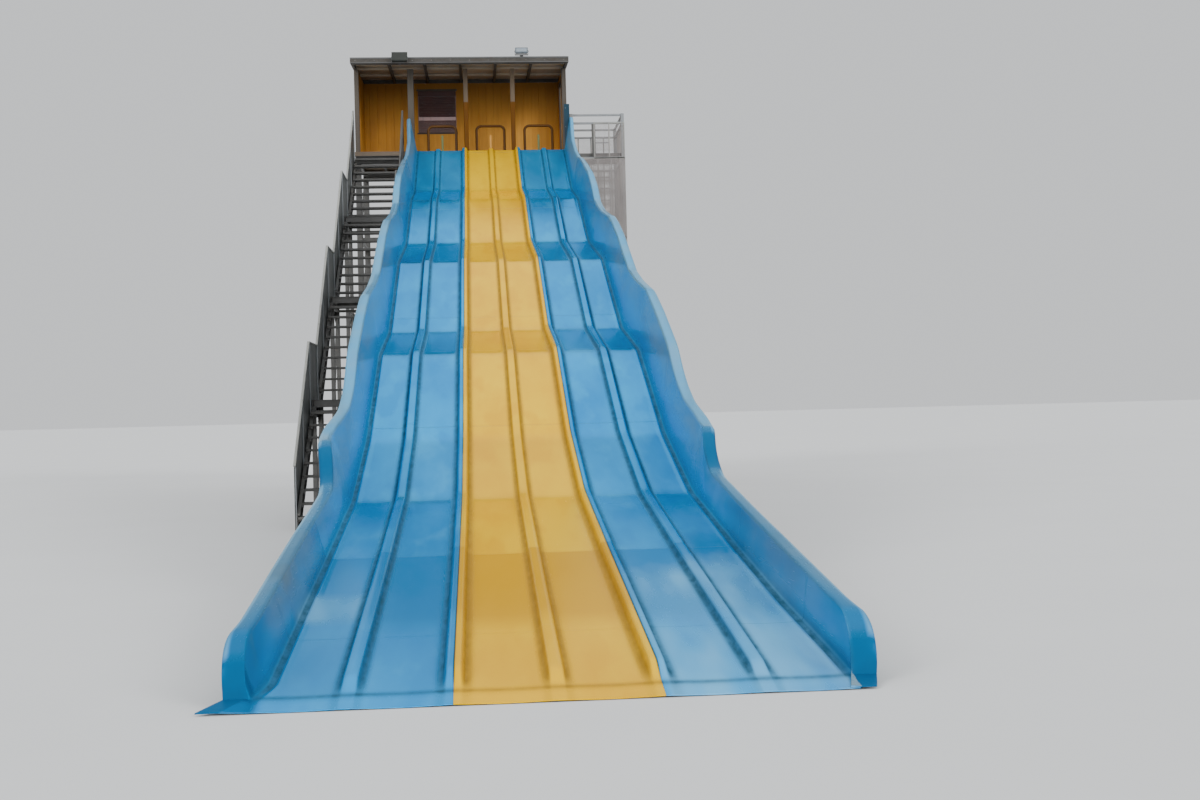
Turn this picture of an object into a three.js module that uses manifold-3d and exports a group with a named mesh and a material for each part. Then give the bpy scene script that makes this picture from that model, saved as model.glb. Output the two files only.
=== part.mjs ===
// Water slide tower: three moulded slide strips with six lanes, the steel towers below them,
// an open launch cabin on a high deck, a straight stair and a mesh-clad service shaft.
// Millimetres, +Z up. Inside the model y is the distance behind the slide's front edge.
// The finished group is shifted so that its origin lies at the centre of its base.

import * as THREE from 'three';
import { mergeVertices } from 'three/addons/utils/BufferGeometryUtils.js';
import Module from 'manifold-3d';

const wasm = await Module();
wasm.setup();

// Clearance between pieces that touch
const gap = 0.3;

// Slide strips
const stripWidth = 1280;
const frontModuleRun = 1500;
const frontFacets = 3;
const moduleRun = 2600;
const moduleCount = 10;
const facetsPerModule = 4;
const facetRun = moduleRun / facetsPerModule;
const slideRun = frontModuleRun + moduleCount * moduleRun;
const shellThickness = 24;
const rimHeight = 75;
const rimWidth = 38;
const rimFoot = 75;
const ribHeight = 48;
const ribHalfWidth = 62;
const wallInset = 166;
const filletLow = { inset: 65, height: 50 };
const filletHigh = { inset: 25, height: 150 };
const outerFoot = { inset: 5, height: 150 };
const hemInset = 40;
const wallLean = 0.09;
const wallSkin = 20;
const lipWidth = 46;
const lipDepth = 30;
const leastWall = 6;
const lowWall = 350;
const noseFlare = { left: 80, right: 45 };
const noseFlareRun = 900;
const frontFloor = 30;
const flangeRun = 190;
const flangeEdge = 14;
const flangeTip = { left: 130, right: -55 };
const noseStations = [0, 6, 50, 150];
const noseRun = 325;
const noseStart = 0.0002;
const ribFadeStart = 375;
const ribFadeEnd = 1250;
const ribLeast = 0.03;

// Each leg of the slide's floor line: its run and its rise, from the pool end to the top
const floorLegs = [
  [4100, 483],
  [2600, 326],
  [2250, 596],
  [2650, 1116],
  [2300, 424],
  [3200, 1387],
  [3000, 636],
  [2800, 1256],
  [2000, 469],
  [2600, 1377],
];
const legBlend = 0.15;

// Height of the outer walls above the floor, as [distance behind the front edge, height]
const wallLine = [
  [0, lowWall],
  [5200, lowWall],
  [5900, 500],
  [6500, 735],
  [7700, 680],
  [8500, 730],
  [9400, 915],
  [10700, 900],
  [11700, 840],
  [12900, 850],
  [13900, 910],
  [15700, 900],
  [16500, 850],
  [17300, 750],
  [18800, 735],
  [19700, 790],
  [20900, 915],
  [21800, 890],
  [22900, 745],
  [24300, 785],
  [24900, 750],
  [25800, 570],
  [26800, 500],
  [27500, 790],
];
const floorSampleCount = 600;

// Sections that are handled as one moulding: the joints between which each one lies
const sections = [
  { name: 'runout', from: -1, to: 3 },
  { name: 'lower_slope', from: 3, to: 7 },
  { name: 'upper_slope', from: 7, to: 10 },
];

// Steel below the slide
const trestlePostX = [-1750, 0, 1750];
const trestlePost = 100;
const trestleBeamHalf = 70;
const trestleBeamDepth = 160;
const trestleBeamX = 1900;
const postIntoBeam = 20;
const basePlate = 220;
const basePlateThickness = 20;
const tieSize = 60;
const tieSpacing = 2000;
const tieClearance = 700;

// Tower, deck and cabin
const deckTop = 8100;
const deckThickness = 100;
const deckFront = slideRun + gap;
const deckBack = 30100;
const deckLeft = -3279.7;
const deckRight = 1880;
const columnSize = 140;
const columnX = [deckLeft + columnSize / 2, -1950, 0, deckRight - columnSize / 2];
const headBeamDepth = 200;
const ledgeRun = 140;
const ledgeStep = 10;
const wallThickness = 80;
const roofFront = 27060;
const roofBack = 30250;
const roofLeft = -3290;
const roofRight = 1890;
const roofLow = 10100;
const roofSlope = 0.065;
const rafterDepth = 100;
const rafterWidth = 60;
const rafterCount = 7;
const sheetThickness = 30;
const fasciaThickness = 40;
const fasciaTop = 170;
const fasciaBottom = 30;
const bargeThickness = 20;
const windowX = [-1830, -850];
const windowSill = 910;
const windowHead = 1990;
const shutterSlats = 9;
const shutterSetback = 18;
const slatBulge = 12;
const shutterThickness = 20;
const doorwayFrom = 28500;
const doorwayTo = 29400;
const doorwayHead = 1930;
const postLine = 27790;
const cornerPost = 110;
const slidePost = 150;
const lanePost = 110;
const lanePostX = [-585, 560];
const lampX = { left: [-2330, -1930], right: [620, 940] };

// Floodlight housings seen from the side: distance in front of the board behind, and height
const lowLamp = [[gap, -20], [gap, 270], [60, 290], [130, 230], [130, 0], [90, -30]];
const highLamp = [[0, gap], [-40, gap], [-70, 190], [50, 200], [80, 60]];

// Starting hoops
const hoopX = [-1180, 0, 1180];
const hoopWidth = 680;
const hoopHeight = 680;
const hoopBend = 120;
const hoopTube = 34;
const hoopLine = 27980;
const hoopFlange = 62;
const hoopFlangeThickness = 12;
const hoopSteps = 14;
const hoopArcSegments = 3;
const flangeSides = 12;

// Left stair: four flights with three landings
const risersPerFlight = 10;
const flightCount = 4;
const riser = deckTop / (risersPerFlight * flightCount);
const going = 260;
const flightRun = going * (risersPerFlight - 1);
const landingRun = 1250;
const stairLeft = -3279.7;
const stairRight = -2145;
const stringerWidth = 50;
const stringerDepth = 260;
const stringerTop = 30;
const stringerFoot = 60;
const treadThickness = 40;
const treadDepth = 285;
const treadInset = 10;
const landingThickness = 120;
const landingLeg = 80;
const landingFoot = 156;
const railHeight = 1000;
const panelThickness = 40;
const panelDrop = 300;
const innerRailBar = 50;
const stairHalves = [
  ['lower', 0, 1],
  ['upper', 2, 3],
];

// Service shaft at the right rear
const shaftLeft = 1960;
const shaftRight = 3311.7;
const shaftFront = 28010;
const shaftBack = 30100;
const shaftPost = 80;
const shaftTop = 9070;
const shaftMidRail = 230;
const meshThickness = 8;
const meshStrip = 60;
const meshRows = 12;
const meshOpenings = [3, 5, 3];
const hatchFrom = 29200;
const hatchLeft = 2550;
const ladderRailSize = 40;
const ladderWidth = 420;
const rungSpacing = 300;
const ladderTop = 8980;

// Distance at which points of one solid are joined
const weldTolerance = 0.001;

// Finishes
const blue = finish(0x2f86c4, 0.25, 0);
const yellow = finish(0xe0ae2c, 0.25, 0);
const steel = finish(0x7d8387, 0.55, 0.6);
const darkSteel = finish(0x55534f, 0.6, 0.5);
const ochre = finish(0x9c6420, 0.75, 0);
const greyPaint = finish(0x77746c, 0.7, 0);
const brownTube = finish(0x5b3a17, 0.5, 0.2);
const shutterPaint = finish(0x3b2426, 0.6, 0.1);
const timber = finish(0x7a6650, 0.85, 0);
const panelGrey = finish(0x8d9092, 0.6, 0.3);
const netting = finish(0xa5a19b, 0.7, 0.2);
const lampGrey = finish(0x8b9297, 0.45, 0.4);

const model = new THREE.Group();

function finish(color, roughness, metalness) {
  return { color, roughness, metalness };
}

function add(name, geometry, look) {
  const mesh = new THREE.Mesh(geometry, new THREE.MeshStandardMaterial(look));
  mesh.name = name;
  model.add(mesh);
  return mesh;
}

// Basic solids

function block(x0, x1, y0, y1, z0, z1) {
  const geometry = new THREE.BoxGeometry(x1 - x0, y1 - y0, z1 - z0);
  geometry.translate((x0 + x1) / 2, (y0 + y1) / 2, (z0 + z1) / 2);
  return geometry;
}

function post(x, y, size, z0, z1) {
  return block(x - size / 2, x + size / 2, y - size / 2, y + size / 2, z0, z1);
}

function outline(points) {
  return new THREE.Shape(points.map(([u, v]) => new THREE.Vector2(u, v)));
}

// A plate whose outline lies in the y-z plane, from x0 to x1
function sidePlate(shape, x0, x1) {
  const geometry = new THREE.ExtrudeGeometry(shape, { depth: x1 - x0, bevelEnabled: false });
  const turn = new THREE.Matrix4().makeBasis(
    new THREE.Vector3(0, 1, 0),
    new THREE.Vector3(0, 0, 1),
    new THREE.Vector3(1, 0, 0),
  );
  geometry.applyMatrix4(turn);
  geometry.translate(x0, 0, 0);
  return geometry;
}

// A plate whose outline lies in the x-z plane, from y0 to y1
function facePlate(shape, y0, y1) {
  const geometry = new THREE.ExtrudeGeometry(shape, { depth: y1 - y0, bevelEnabled: false });
  geometry.rotateX(Math.PI / 2);
  geometry.translate(0, y1, 0);
  return geometry;
}

// A square bar between two points in space
function bar(start, end, size) {
  const a = new THREE.Vector3(...start);
  const b = new THREE.Vector3(...end);
  const geometry = new THREE.BoxGeometry(size, size, a.distanceTo(b));
  const along = b.clone().sub(a).normalize();
  const turn = new THREE.Quaternion().setFromUnitVectors(new THREE.Vector3(0, 0, 1), along);
  geometry.applyQuaternion(turn);
  geometry.translate(...a.add(b).multiplyScalar(0.5).toArray());
  return geometry;
}

function bareGeometry(geometry) {
  const bare = geometry.clone();
  bare.deleteAttribute('normal');
  bare.deleteAttribute('uv');
  return mergeVertices(bare, weldTolerance);
}

function toManifold(geometry) {
  const bare = bareGeometry(geometry);
  const mesh = new wasm.Mesh({
    numProp: 3,
    vertProperties: new Float32Array(bare.attributes.position.array),
    triVerts: new Uint32Array(bare.index.array),
  });
  return new wasm.Manifold(mesh);
}

function fromManifold(solid) {
  const mesh = solid.getMesh();
  const geometry = new THREE.BufferGeometry();
  geometry.setAttribute('position', new THREE.BufferAttribute(mesh.vertProperties, 3));
  geometry.setIndex(new THREE.BufferAttribute(mesh.triVerts, 1));
  return geometry;
}

function weld(pieces) {
  return fromManifold(wasm.Manifold.union(pieces.map(toManifold)));
}

// Slide floor line

function floorCurve() {
  const points = [new THREE.Vector2(0, frontFloor)];
  let y = 0;
  let z = frontFloor;
  for (const [run, rise] of floorLegs) {
    points.push(new THREE.Vector2(y + legBlend * run, z + legBlend * rise));
    points.push(new THREE.Vector2(y + (1 - legBlend) * run, z + (1 - legBlend) * rise));
    y += run;
    z += rise;
  }
  points.push(new THREE.Vector2(y, z));
  return new THREE.SplineCurve(points);
}

const floorSamples = floorCurve().getPoints(floorSampleCount);

function floorHeight(y) {
  const clamped = THREE.MathUtils.clamp(y, 0, slideRun);
  const next = Math.max(1, floorSamples.findIndex((sample) => sample.x >= clamped - 1e-6));
  const a = floorSamples[next - 1];
  const b = floorSamples[next];
  return THREE.MathUtils.lerp(a.y, b.y, (clamped - a.x) / (b.x - a.x));
}

// Distance of a joint between modules; joint -1 is the slide's front edge
function jointAt(index) {
  return index < 0 ? 0 : frontModuleRun + index * moduleRun;
}

// Height of the faceted shell's underside, which the steel below it follows
function underside(y) {
  const last = moduleCount * facetsPerModule - 1;
  const facet = Math.min(last, Math.floor((y - frontModuleRun) / facetRun));
  const y0 = frontModuleRun + facet * facetRun;
  const share = (y - y0) / facetRun;
  return THREE.MathUtils.lerp(floorHeight(y0), floorHeight(y0 + facetRun), share) - shellThickness;
}

// The walls rise from nothing over a rounded nose and then follow their line
function wallHeight(y) {
  const next = Math.max(1, wallLine.findIndex(([distance]) => distance >= y));
  const [y0, h0] = wallLine[next - 1];
  const [y1, h1] = wallLine[next];
  const full = THREE.MathUtils.lerp(h0, h1, (y - y0) / (y1 - y0));
  const noseShare = THREE.MathUtils.clamp((y - flangeRun) / noseRun, noseStart, 1);
  return Math.max(leastWall, full * Math.sqrt(1 - (1 - noseShare) ** 2));
}

// Floor of a lane; in front of the nose a flange slopes down to the ground
function laneFloor(y) {
  if (y > flangeRun) {
    return floorHeight(y);
  }
  return THREE.MathUtils.lerp(flangeEdge, floorHeight(flangeRun), y / flangeRun);
}

// How far the nose, and the flange in front of it, lean outwards
function noseSpread(y, side) {
  const end = side < 0 ? 'left' : 'right';
  const tip = flangeTip[end] * Math.max(0, 1 - y / flangeRun);
  return noseFlare[end] * (1 - THREE.MathUtils.smoothstep(y, 0, noseFlareRun)) + tip;
}

function ribScale(y) {
  return Math.max(ribLeast, THREE.MathUtils.smoothstep(y, ribFadeStart, ribFadeEnd));
}

// Top line of the rib, from its left foot to its right foot
function ribPoints(scale) {
  return [
    [-ribHalfWidth, 0],
    [0, ribHeight * scale],
    [ribHalfWidth, 0],
  ];
}

function rimPoints(scale) {
  const edge = stripWidth / 2 - gap / 2;
  return [
    [-edge, rimHeight * scale],
    [-edge + rimWidth, rimHeight * scale],
    [-edge + rimFoot, 0],
  ];
}

// Outer wall with its rolled lip, from the fillet up, over the lip and down the outside
function wallPoints(height, flare) {
  const scale = Math.min(1, height / lowWall);
  const edge = stripWidth / 2;
  const top = edge - wallSkin + wallLean * height + flare;
  return [
    [edge - wallInset, 0],
    [edge - filletLow.inset, filletLow.height * scale],
    [edge - filletHigh.inset, filletHigh.height * scale],
    [top, height],
    [top + lipWidth, height],
    [top + lipWidth, height - lipDepth * scale],
    [top + wallSkin, height - lipDepth * scale],
    [edge - outerFoot.inset, outerFoot.height * scale],
  ];
}

function mirrored(points) {
  return points.map(([x, z]) => [-x, z]).reverse();
}

// One cross-section of a strip at distance y; side is -1, 0 or 1 for left, middle and right
function stripRing(y, side) {
  const scale = ribScale(y);
  const floor = laneFloor(y);
  const bottom = Math.max(0, floor - shellThickness) - floor;
  const edge = stripWidth / 2 - gap / 2;
  let top = [...rimPoints(scale), ...ribPoints(scale)];
  if (side === 0) {
    top = [...top, ...mirrored(rimPoints(scale)), [edge, bottom], [-edge, bottom]];
  } else {
    top = [...top, ...wallPoints(wallHeight(y), noseSpread(y, side))];
    top = [...top, [edge - hemInset, bottom], [-edge, bottom]];
  }
  const placed = side < 0 ? mirrored(top) : top;
  const centre = side * stripWidth;
  return placed.map(([x, z]) => new THREE.Vector3(centre + x, y, floor + z));
}

// Triangles that fill a ring, each counterclockwise as seen from the front
function capTriangles(ring) {
  const flat = ring.map((point) => new THREE.Vector2(point.x, point.z));
  return THREE.ShapeUtils.triangulateShape(flat, []).map(([a, b, c]) => {
    const area = THREE.ShapeUtils.area([flat[a], flat[b], flat[c]]);
    return area > 0 ? [a, b, c] : [a, c, b];
  });
}

// Closed solid through rings of equal length that all lie across y
function loft(rings) {
  const count = rings[0].length;
  const positions = rings.flat().flatMap((point) => point.toArray());
  const triangles = [];
  for (let ring = 0; ring < rings.length - 1; ring += 1) {
    for (let i = 0; i < count; i += 1) {
      const a = ring * count + i;
      const b = ring * count + ((i + 1) % count);
      triangles.push(a, b, a + count, b, b + count, a + count);
    }
  }
  const last = (rings.length - 1) * count;
  for (const [a, b, c] of capTriangles(rings[0])) {
    triangles.push(a, b, c);
  }
  for (const [a, b, c] of capTriangles(rings.at(-1))) {
    triangles.push(last + a, last + c, last + b);
  }
  const geometry = new THREE.BufferGeometry();
  geometry.setAttribute('position', new THREE.Float32BufferAttribute(positions, 3));
  geometry.setIndex(triangles);
  return geometry;
}

// Distances at which a section's rings lie; the front module has a closer set at its nose
function stripStations(section) {
  const start = Math.max(section.from, 0);
  const facets = (section.to - start) * facetsPerModule;
  const stations = [];
  for (let facet = 0; facet <= facets; facet += 1) {
    stations.push(jointAt(start) + facet * facetRun);
  }
  if (section.from >= 0) {
    stations[0] += gap;
    return stations;
  }
  const front = [0, ...noseStations.map((offset) => flangeRun + offset)];
  for (let facet = 1; facet < frontFacets; facet += 1) {
    front.push((facet * frontModuleRun) / frontFacets);
  }
  return [...front, ...stations];
}

function addSlide() {
  const strips = [
    { name: 'left_strip', side: -1, look: blue },
    { name: 'middle_strip', side: 0, look: yellow },
    { name: 'right_strip', side: 1, look: blue },
  ];
  for (const strip of strips) {
    for (const section of sections) {
      const rings = stripStations(section).map((y) => stripRing(y, strip.side));
      add(`${strip.name}_${section.name}`, loft(rings), strip.look);
    }
  }
}

// Steel below the slide

// Beam across the slide whose top follows the shell above it
function crossBeam(y) {
  const near = y - trestleBeamHalf;
  const far = y + trestleBeamHalf;
  const shape = outline([
    [near, underside(near) - gap],
    [near, underside(near) - gap - trestleBeamDepth],
    [far, underside(far) - gap - trestleBeamDepth],
    [far, underside(far) - gap],
  ]);
  return sidePlate(shape, -trestleBeamX, trestleBeamX);
}

function tieHeights(top) {
  const heights = [];
  for (let z = tieSpacing; z < top - tieClearance; z += tieSpacing) {
    heights.push(z);
  }
  return heights;
}

// Flat frame across the slide: three posts, the beam, level ties and a brace in each bay
function trestle(y) {
  const beamBottom = underside(y) - trestleBeamDepth;
  const [left, middle, right] = trestlePostX;
  const pieces = [crossBeam(y)];
  for (const x of trestlePostX) {
    pieces.push(post(x, y, trestlePost, 0, beamBottom + postIntoBeam));
    pieces.push(post(x, y, basePlate, 0, basePlateThickness));
  }
  let below = basePlateThickness + tieSize;
  for (const z of tieHeights(beamBottom)) {
    pieces.push(bar([left, y, z], [right, y, z], tieSize));
    pieces.push(bar([left, y, below], [middle, y, z], tieSize));
    pieces.push(bar([middle, y, z], [right, y, below], tieSize));
    below = z;
  }
  return pieces;
}

// One trestle just before each joint that hangs clear of the ground
function addSlideSupports() {
  for (let joint = 1; joint < moduleCount; joint += 1) {
    const y = jointAt(joint) - facetRun / 2;
    add(`slide_support_${joint}`, weld(trestle(y)), steel);
  }
}

// Tower below the deck

function towerRow(y) {
  const top = deckTop - deckThickness - gap;
  const pieces = [];
  for (const x of columnX) {
    pieces.push(post(x, y, columnSize, 0, top));
    pieces.push(post(x, y, basePlate, 0, basePlateThickness));
  }
  const half = columnSize / 2;
  pieces.push(block(deckLeft, deckRight, y - half, y + half, top - headBeamDepth, top));
  let below = basePlateThickness + tieSize;
  for (const z of tieHeights(top)) {
    pieces.push(bar([columnX[0], y, z], [columnX.at(-1), y, z], tieSize));
    pieces.push(bar([columnX[0], y, below], [columnX[1], y, z], tieSize));
    pieces.push(bar([columnX.at(-2), y, z], [columnX.at(-1), y, below], tieSize));
    below = z;
  }
  return pieces;
}

// Ledge in front of the deck that carries the top end of the slide
function slideLedge(columnY) {
  const near = slideRun - ledgeRun;
  const step = slideRun - ledgeStep;
  const shape = outline([
    [near, underside(near) - gap],
    [near, underside(near) - gap - headBeamDepth],
    [columnY, deckTop - deckThickness - gap - headBeamDepth],
    [columnY, deckTop - deckThickness - gap],
    [step, deckTop - deckThickness - gap],
    [step, underside(step) - gap],
  ]);
  return sidePlate(shape, -trestleBeamX, trestleBeamX);
}

function towerSide(x, near, far) {
  const size = columnSize / 2;
  const lower = near + columnSize / 2 + gap;
  const upper = far - columnSize / 2 - gap;
  const top = deckTop - deckThickness - gap;
  const heights = [...tieHeights(top), top - headBeamDepth / 2];
  const pieces = [];
  let below = tieSize;
  for (const z of [tieSize, ...heights]) {
    pieces.push(block(x - size / 2, x + size / 2, lower, upper, z - size / 2, z + size / 2));
    if (z > below) {
      pieces.push(bar([x, lower + size, below], [x, upper - size, z], tieSize));
    }
    below = z;
  }
  return weld(pieces);
}

function addTower() {
  const frontRow = deckFront + columnSize / 2;
  const backRow = deckBack - columnSize / 2;
  add('tower_front_frame', weld([...towerRow(frontRow), slideLedge(frontRow)]), darkSteel);
  add('tower_back_frame', weld(towerRow(backRow)), darkSteel);
  add('tower_left_bracing', towerSide(columnX[0], frontRow, backRow), darkSteel);
  add('tower_right_bracing', towerSide(columnX.at(-1), frontRow, backRow), darkSteel);
  const bottom = deckTop - deckThickness;
  add('deck_floor', block(deckLeft, deckRight, deckFront, deckBack, bottom, deckTop), timber);
}

// Launch cabin

function roofUnderside(y) {
  return roofLow + roofSlope * (y - roofFront);
}

function slopedOutline(y0, y1, bottom, offset) {
  return outline([
    [y0, bottom],
    [y1, bottom],
    [y1, roofUnderside(y1) + offset],
    [y0, roofUnderside(y0) + offset],
  ]);
}

function hole(u0, u1, v0, v1) {
  return new THREE.Path([
    new THREE.Vector2(u0, v0),
    new THREE.Vector2(u0, v1),
    new THREE.Vector2(u1, v1),
    new THREE.Vector2(u1, v0),
  ]);
}

function addBackWall() {
  const near = deckBack - wallThickness;
  const top = roofUnderside(near) - gap;
  const shape = outline([
    [deckLeft, deckTop + gap],
    [deckRight, deckTop + gap],
    [deckRight, top],
    [deckLeft, top],
  ]);
  const sill = deckTop + windowSill;
  const head = deckTop + windowHead;
  shape.holes.push(hole(windowX[0], windowX[1], sill, head));
  add('cabin_back_wall', facePlate(shape, near, deckBack), ochre);
  addShutter(near + shutterSetback, sill + gap, head - gap);
}

// Closed roller shutter whose slats bulge towards the slide, from its front line
function addShutter(front, bottom, top) {
  const slat = (top - bottom) / shutterSlats;
  const joint = front + slatBulge;
  const back = joint + shutterThickness;
  const profile = [];
  for (let i = 0; i < shutterSlats; i += 1) {
    profile.push([joint, bottom + i * slat]);
    profile.push([front, bottom + (i + 0.5) * slat]);
  }
  profile.push([joint, top], [back, top], [back, bottom]);
  const shutter = sidePlate(outline(profile), windowX[0] + gap, windowX[1] - gap);
  add('back_window_shutter', shutter, shutterPaint);
}

function addSideWalls() {
  const near = postLine + cornerPost / 2 + gap;
  const far = deckBack - wallThickness - gap;
  const leftShape = slopedOutline(near, far, deckTop + gap, -gap);
  add('cabin_left_wall', sidePlate(leftShape, deckLeft, deckLeft + wallThickness), ochre);
  const base = deckTop + gap;
  const rightShape = outline([
    [near, base],
    [doorwayFrom, base],
    [doorwayFrom, deckTop + doorwayHead],
    [doorwayTo, deckTop + doorwayHead],
    [doorwayTo, base],
    [far, base],
    [far, roofUnderside(far) - gap],
    [near, roofUnderside(near) - gap],
  ]);
  add('cabin_right_wall', sidePlate(rightShape, deckRight - wallThickness, deckRight), ochre);
}

function cabinPost(name, x, size, look) {
  const half = size / 2;
  const shape = slopedOutline(postLine - half, postLine + half, deckTop + gap, -gap);
  add(name, sidePlate(shape, x - half, x + half), look);
}

function addPosts() {
  cabinPost('front_post_left_corner', deckLeft + cornerPost / 2, cornerPost, greyPaint);
  cabinPost('front_post_stair_side', -1.5 * stripWidth, slidePost, greyPaint);
  cabinPost('front_post_left_lane', lanePostX[0], lanePost, steel);
  cabinPost('front_post_right_lane', lanePostX[1], lanePost, steel);
  cabinPost('front_post_right_corner', deckRight - cornerPost / 2, cornerPost, greyPaint);
}

function roofLayer(y0, y1, low, high) {
  return outline([
    [y0, roofUnderside(y0) + low],
    [y1, roofUnderside(y1) + low],
    [y1, roofUnderside(y1) + high],
    [y0, roofUnderside(y0) + high],
  ]);
}

function addRoof() {
  const pieces = [];
  const last = rafterCount - 1;
  for (let i = 0; i < rafterCount; i += 1) {
    const x = THREE.MathUtils.lerp(roofLeft, roofRight - rafterWidth, i / last);
    pieces.push(sidePlate(roofLayer(roofFront, roofBack, 0, rafterDepth), x, x + rafterWidth));
  }
  for (const y of [roofFront, deckBack - wallThickness]) {
    pieces.push(sidePlate(roofLayer(y, y + rafterWidth, 0, rafterDepth), roofLeft, roofRight));
  }
  add('roof_rafters', weld(pieces), greyPaint);
  const low = rafterDepth + gap;
  const sheet = roofLayer(roofFront, roofBack, low, low + sheetThickness);
  add('roof_sheet', sidePlate(sheet, roofLeft, roofRight), greyPaint);
  addFascia();
}

function addFascia() {
  const front = roofFront - gap - fasciaThickness;
  const frontBoard = outline([
    [front, roofLow + fasciaBottom],
    [roofFront - gap, roofLow + fasciaBottom],
    [roofFront - gap, roofLow + fasciaTop],
    [front, roofLow + fasciaTop],
  ]);
  const sideBoard = roofLayer(front, roofBack, fasciaBottom, fasciaTop);
  const left = roofLeft - gap;
  const right = roofRight + gap;
  const pieces = [
    sidePlate(frontBoard, left - bargeThickness, right + bargeThickness),
    sidePlate(sideBoard, left - bargeThickness, left),
    sidePlate(sideBoard, right, right + bargeThickness),
  ];
  add('roof_fascia', weld(pieces), greyPaint);
}

// The left lamp hangs on the front board, the right one stands on top of it
function addFloodlights() {
  const front = roofFront - gap - fasciaThickness;
  const placed = (points, height) => outline(points.map(([ahead, z]) => [front - ahead, height + z]));
  const low = placed(lowLamp, roofLow);
  const high = placed(highLamp, roofLow + fasciaTop);
  add('floodlight_left', sidePlate(low, lampX.left[0], lampX.left[1]), lampGrey);
  add('floodlight_right', sidePlate(high, lampX.right[0], lampX.right[1]), lampGrey);
}

function hoopPath(x) {
  const half = hoopWidth / 2;
  const top = deckTop + hoopHeight;
  const path = new THREE.CurvePath();
  const at = (dx, z) => new THREE.Vector3(x + dx, hoopLine, z);
  const foot = deckTop + gap;
  path.add(new THREE.LineCurve3(at(-half, foot), at(-half, top - hoopBend)));
  path.add(new THREE.QuadraticBezierCurve3(at(-half, top - hoopBend), at(-half, top),
    at(-half + hoopBend, top)));
  path.add(new THREE.LineCurve3(at(-half + hoopBend, top), at(half - hoopBend, top)));
  path.add(new THREE.QuadraticBezierCurve3(at(half - hoopBend, top), at(half, top),
    at(half, top - hoopBend)));
  path.add(new THREE.LineCurve3(at(half, top - hoopBend), at(half, foot)));
  return path;
}

function hoopFoot(x) {
  const disc = new THREE.CylinderGeometry(hoopFlange, hoopFlange, hoopFlangeThickness, flangeSides);
  disc.rotateX(Math.PI / 2);
  disc.translate(x, hoopLine, deckTop + gap + hoopFlangeThickness / 2);
  return disc;
}

function addHoops() {
  const section = new THREE.Shape();
  section.absarc(0, 0, hoopTube, 0, 2 * Math.PI);
  const names = ['hoop_left_strip', 'hoop_middle_strip', 'hoop_right_strip'];
  hoopX.forEach((x, index) => {
    const tube = new THREE.ExtrudeGeometry(section, {
      steps: hoopSteps,
      curveSegments: hoopArcSegments,
      bevelEnabled: false,
      extrudePath: hoopPath(x),
    });
    const pieces = [tube, hoopFoot(x - hoopWidth / 2), hoopFoot(x + hoopWidth / 2)];
    add(names[index], weld(pieces), brownTube);
  });
}

// Left stair

// Where flight number index (0 at the bottom) starts, and the height that it starts from
function flightStart(index) {
  const above = flightCount - index;
  const y = slideRun - above * flightRun - (above - 1) * landingRun;
  return { y, z: index * risersPerFlight * riser };
}

function pitchLine(start, y) {
  return start.z + riser + ((y - start.y) / going) * riser;
}

function stringer(start, x0) {
  const near = start.y + gap;
  const far = start.y + flightRun - gap;
  const floor = start.z > 0 ? start.z - landingThickness : 0;
  const farTop = pitchLine(start, far) - riser + stringerTop;
  const shape = outline([
    [near, floor],
    [near + stringerFoot, floor],
    [far, farTop - stringerDepth],
    [far, farTop],
    [near, pitchLine(start, near) + stringerTop],
  ]);
  return sidePlate(shape, x0, x0 + stringerWidth);
}

function addFlight(index) {
  const start = flightStart(index);
  const pieces = [stringer(start, stairLeft), stringer(start, stairRight - stringerWidth)];
  for (let step = 1; step < risersPerFlight; step += 1) {
    const y = start.y + (step - 1) * going + gap;
    const depth = step === risersPerFlight - 1 ? going - 2 * gap : treadDepth;
    const z = start.z + step * riser;
    const left = stairLeft + treadInset;
    const right = stairRight - treadInset;
    pieces.push(block(left, right, y, y + depth, z - treadThickness, z));
  }
  add(`stair_flight_${index + 1}`, weld(pieces), darkSteel);
}

function addLanding(index) {
  const start = flightStart(index);
  const near = start.y + flightRun;
  const far = near + landingRun;
  const top = start.z + risersPerFlight * riser;
  const inset = landingLeg / 2;
  const pieces = [block(stairLeft, stairRight, near, far, top - landingThickness, top)];
  for (const y of [near + inset, far - inset]) {
    for (const x of [stairLeft + inset, stairRight - inset]) {
      pieces.push(post(x, y, landingLeg, 0, top - landingThickness / 2));
      pieces.push(post(x, y, landingFoot, 0, basePlateThickness));
    }
  }
  for (const z of tieHeights(top)) {
    for (const y of [near + inset, far - inset]) {
      pieces.push(bar([stairLeft + inset, y, z], [stairRight - inset, y, z], tieSize));
    }
    for (const x of [stairLeft + inset, stairRight - inset]) {
      pieces.push(bar([x, near + inset, z], [x, far - inset, z], tieSize));
    }
  }
  add(`stair_landing_${index + 1}`, weld(pieces), darkSteel);
}

// Walking line of one flight and the landing above it, raised by an offset
function screenLine(index, offset) {
  const start = flightStart(index);
  const near = start.y;
  const knee = start.y + flightRun;
  const end = knee + (index < flightCount - 1 ? landingRun : 0);
  const landing = start.z + risersPerFlight * riser;
  return [
    [near, start.z + offset],
    [knee, landing + offset],
    [end, landing + offset],
  ];
}

// Outline of the screens from one flight to another; drop is how far they reach below the treads
function screenOutline(first, last, drop) {
  const top = [];
  const bottom = [];
  for (let index = first; index <= last; index += 1) {
    const skip = index > first ? 1 : 0;
    top.push(...screenLine(index, railHeight).slice(skip));
    bottom.push(...screenLine(index, -drop).slice(skip));
  }
  const line = [...bottom.map(([y, z]) => [y, Math.max(0, z)]), ...top.reverse()];
  return line.filter(([y], i) => i === 0 || y !== line[i - 1][0] || line[i][1] !== line[i - 1][1]);
}

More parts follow.
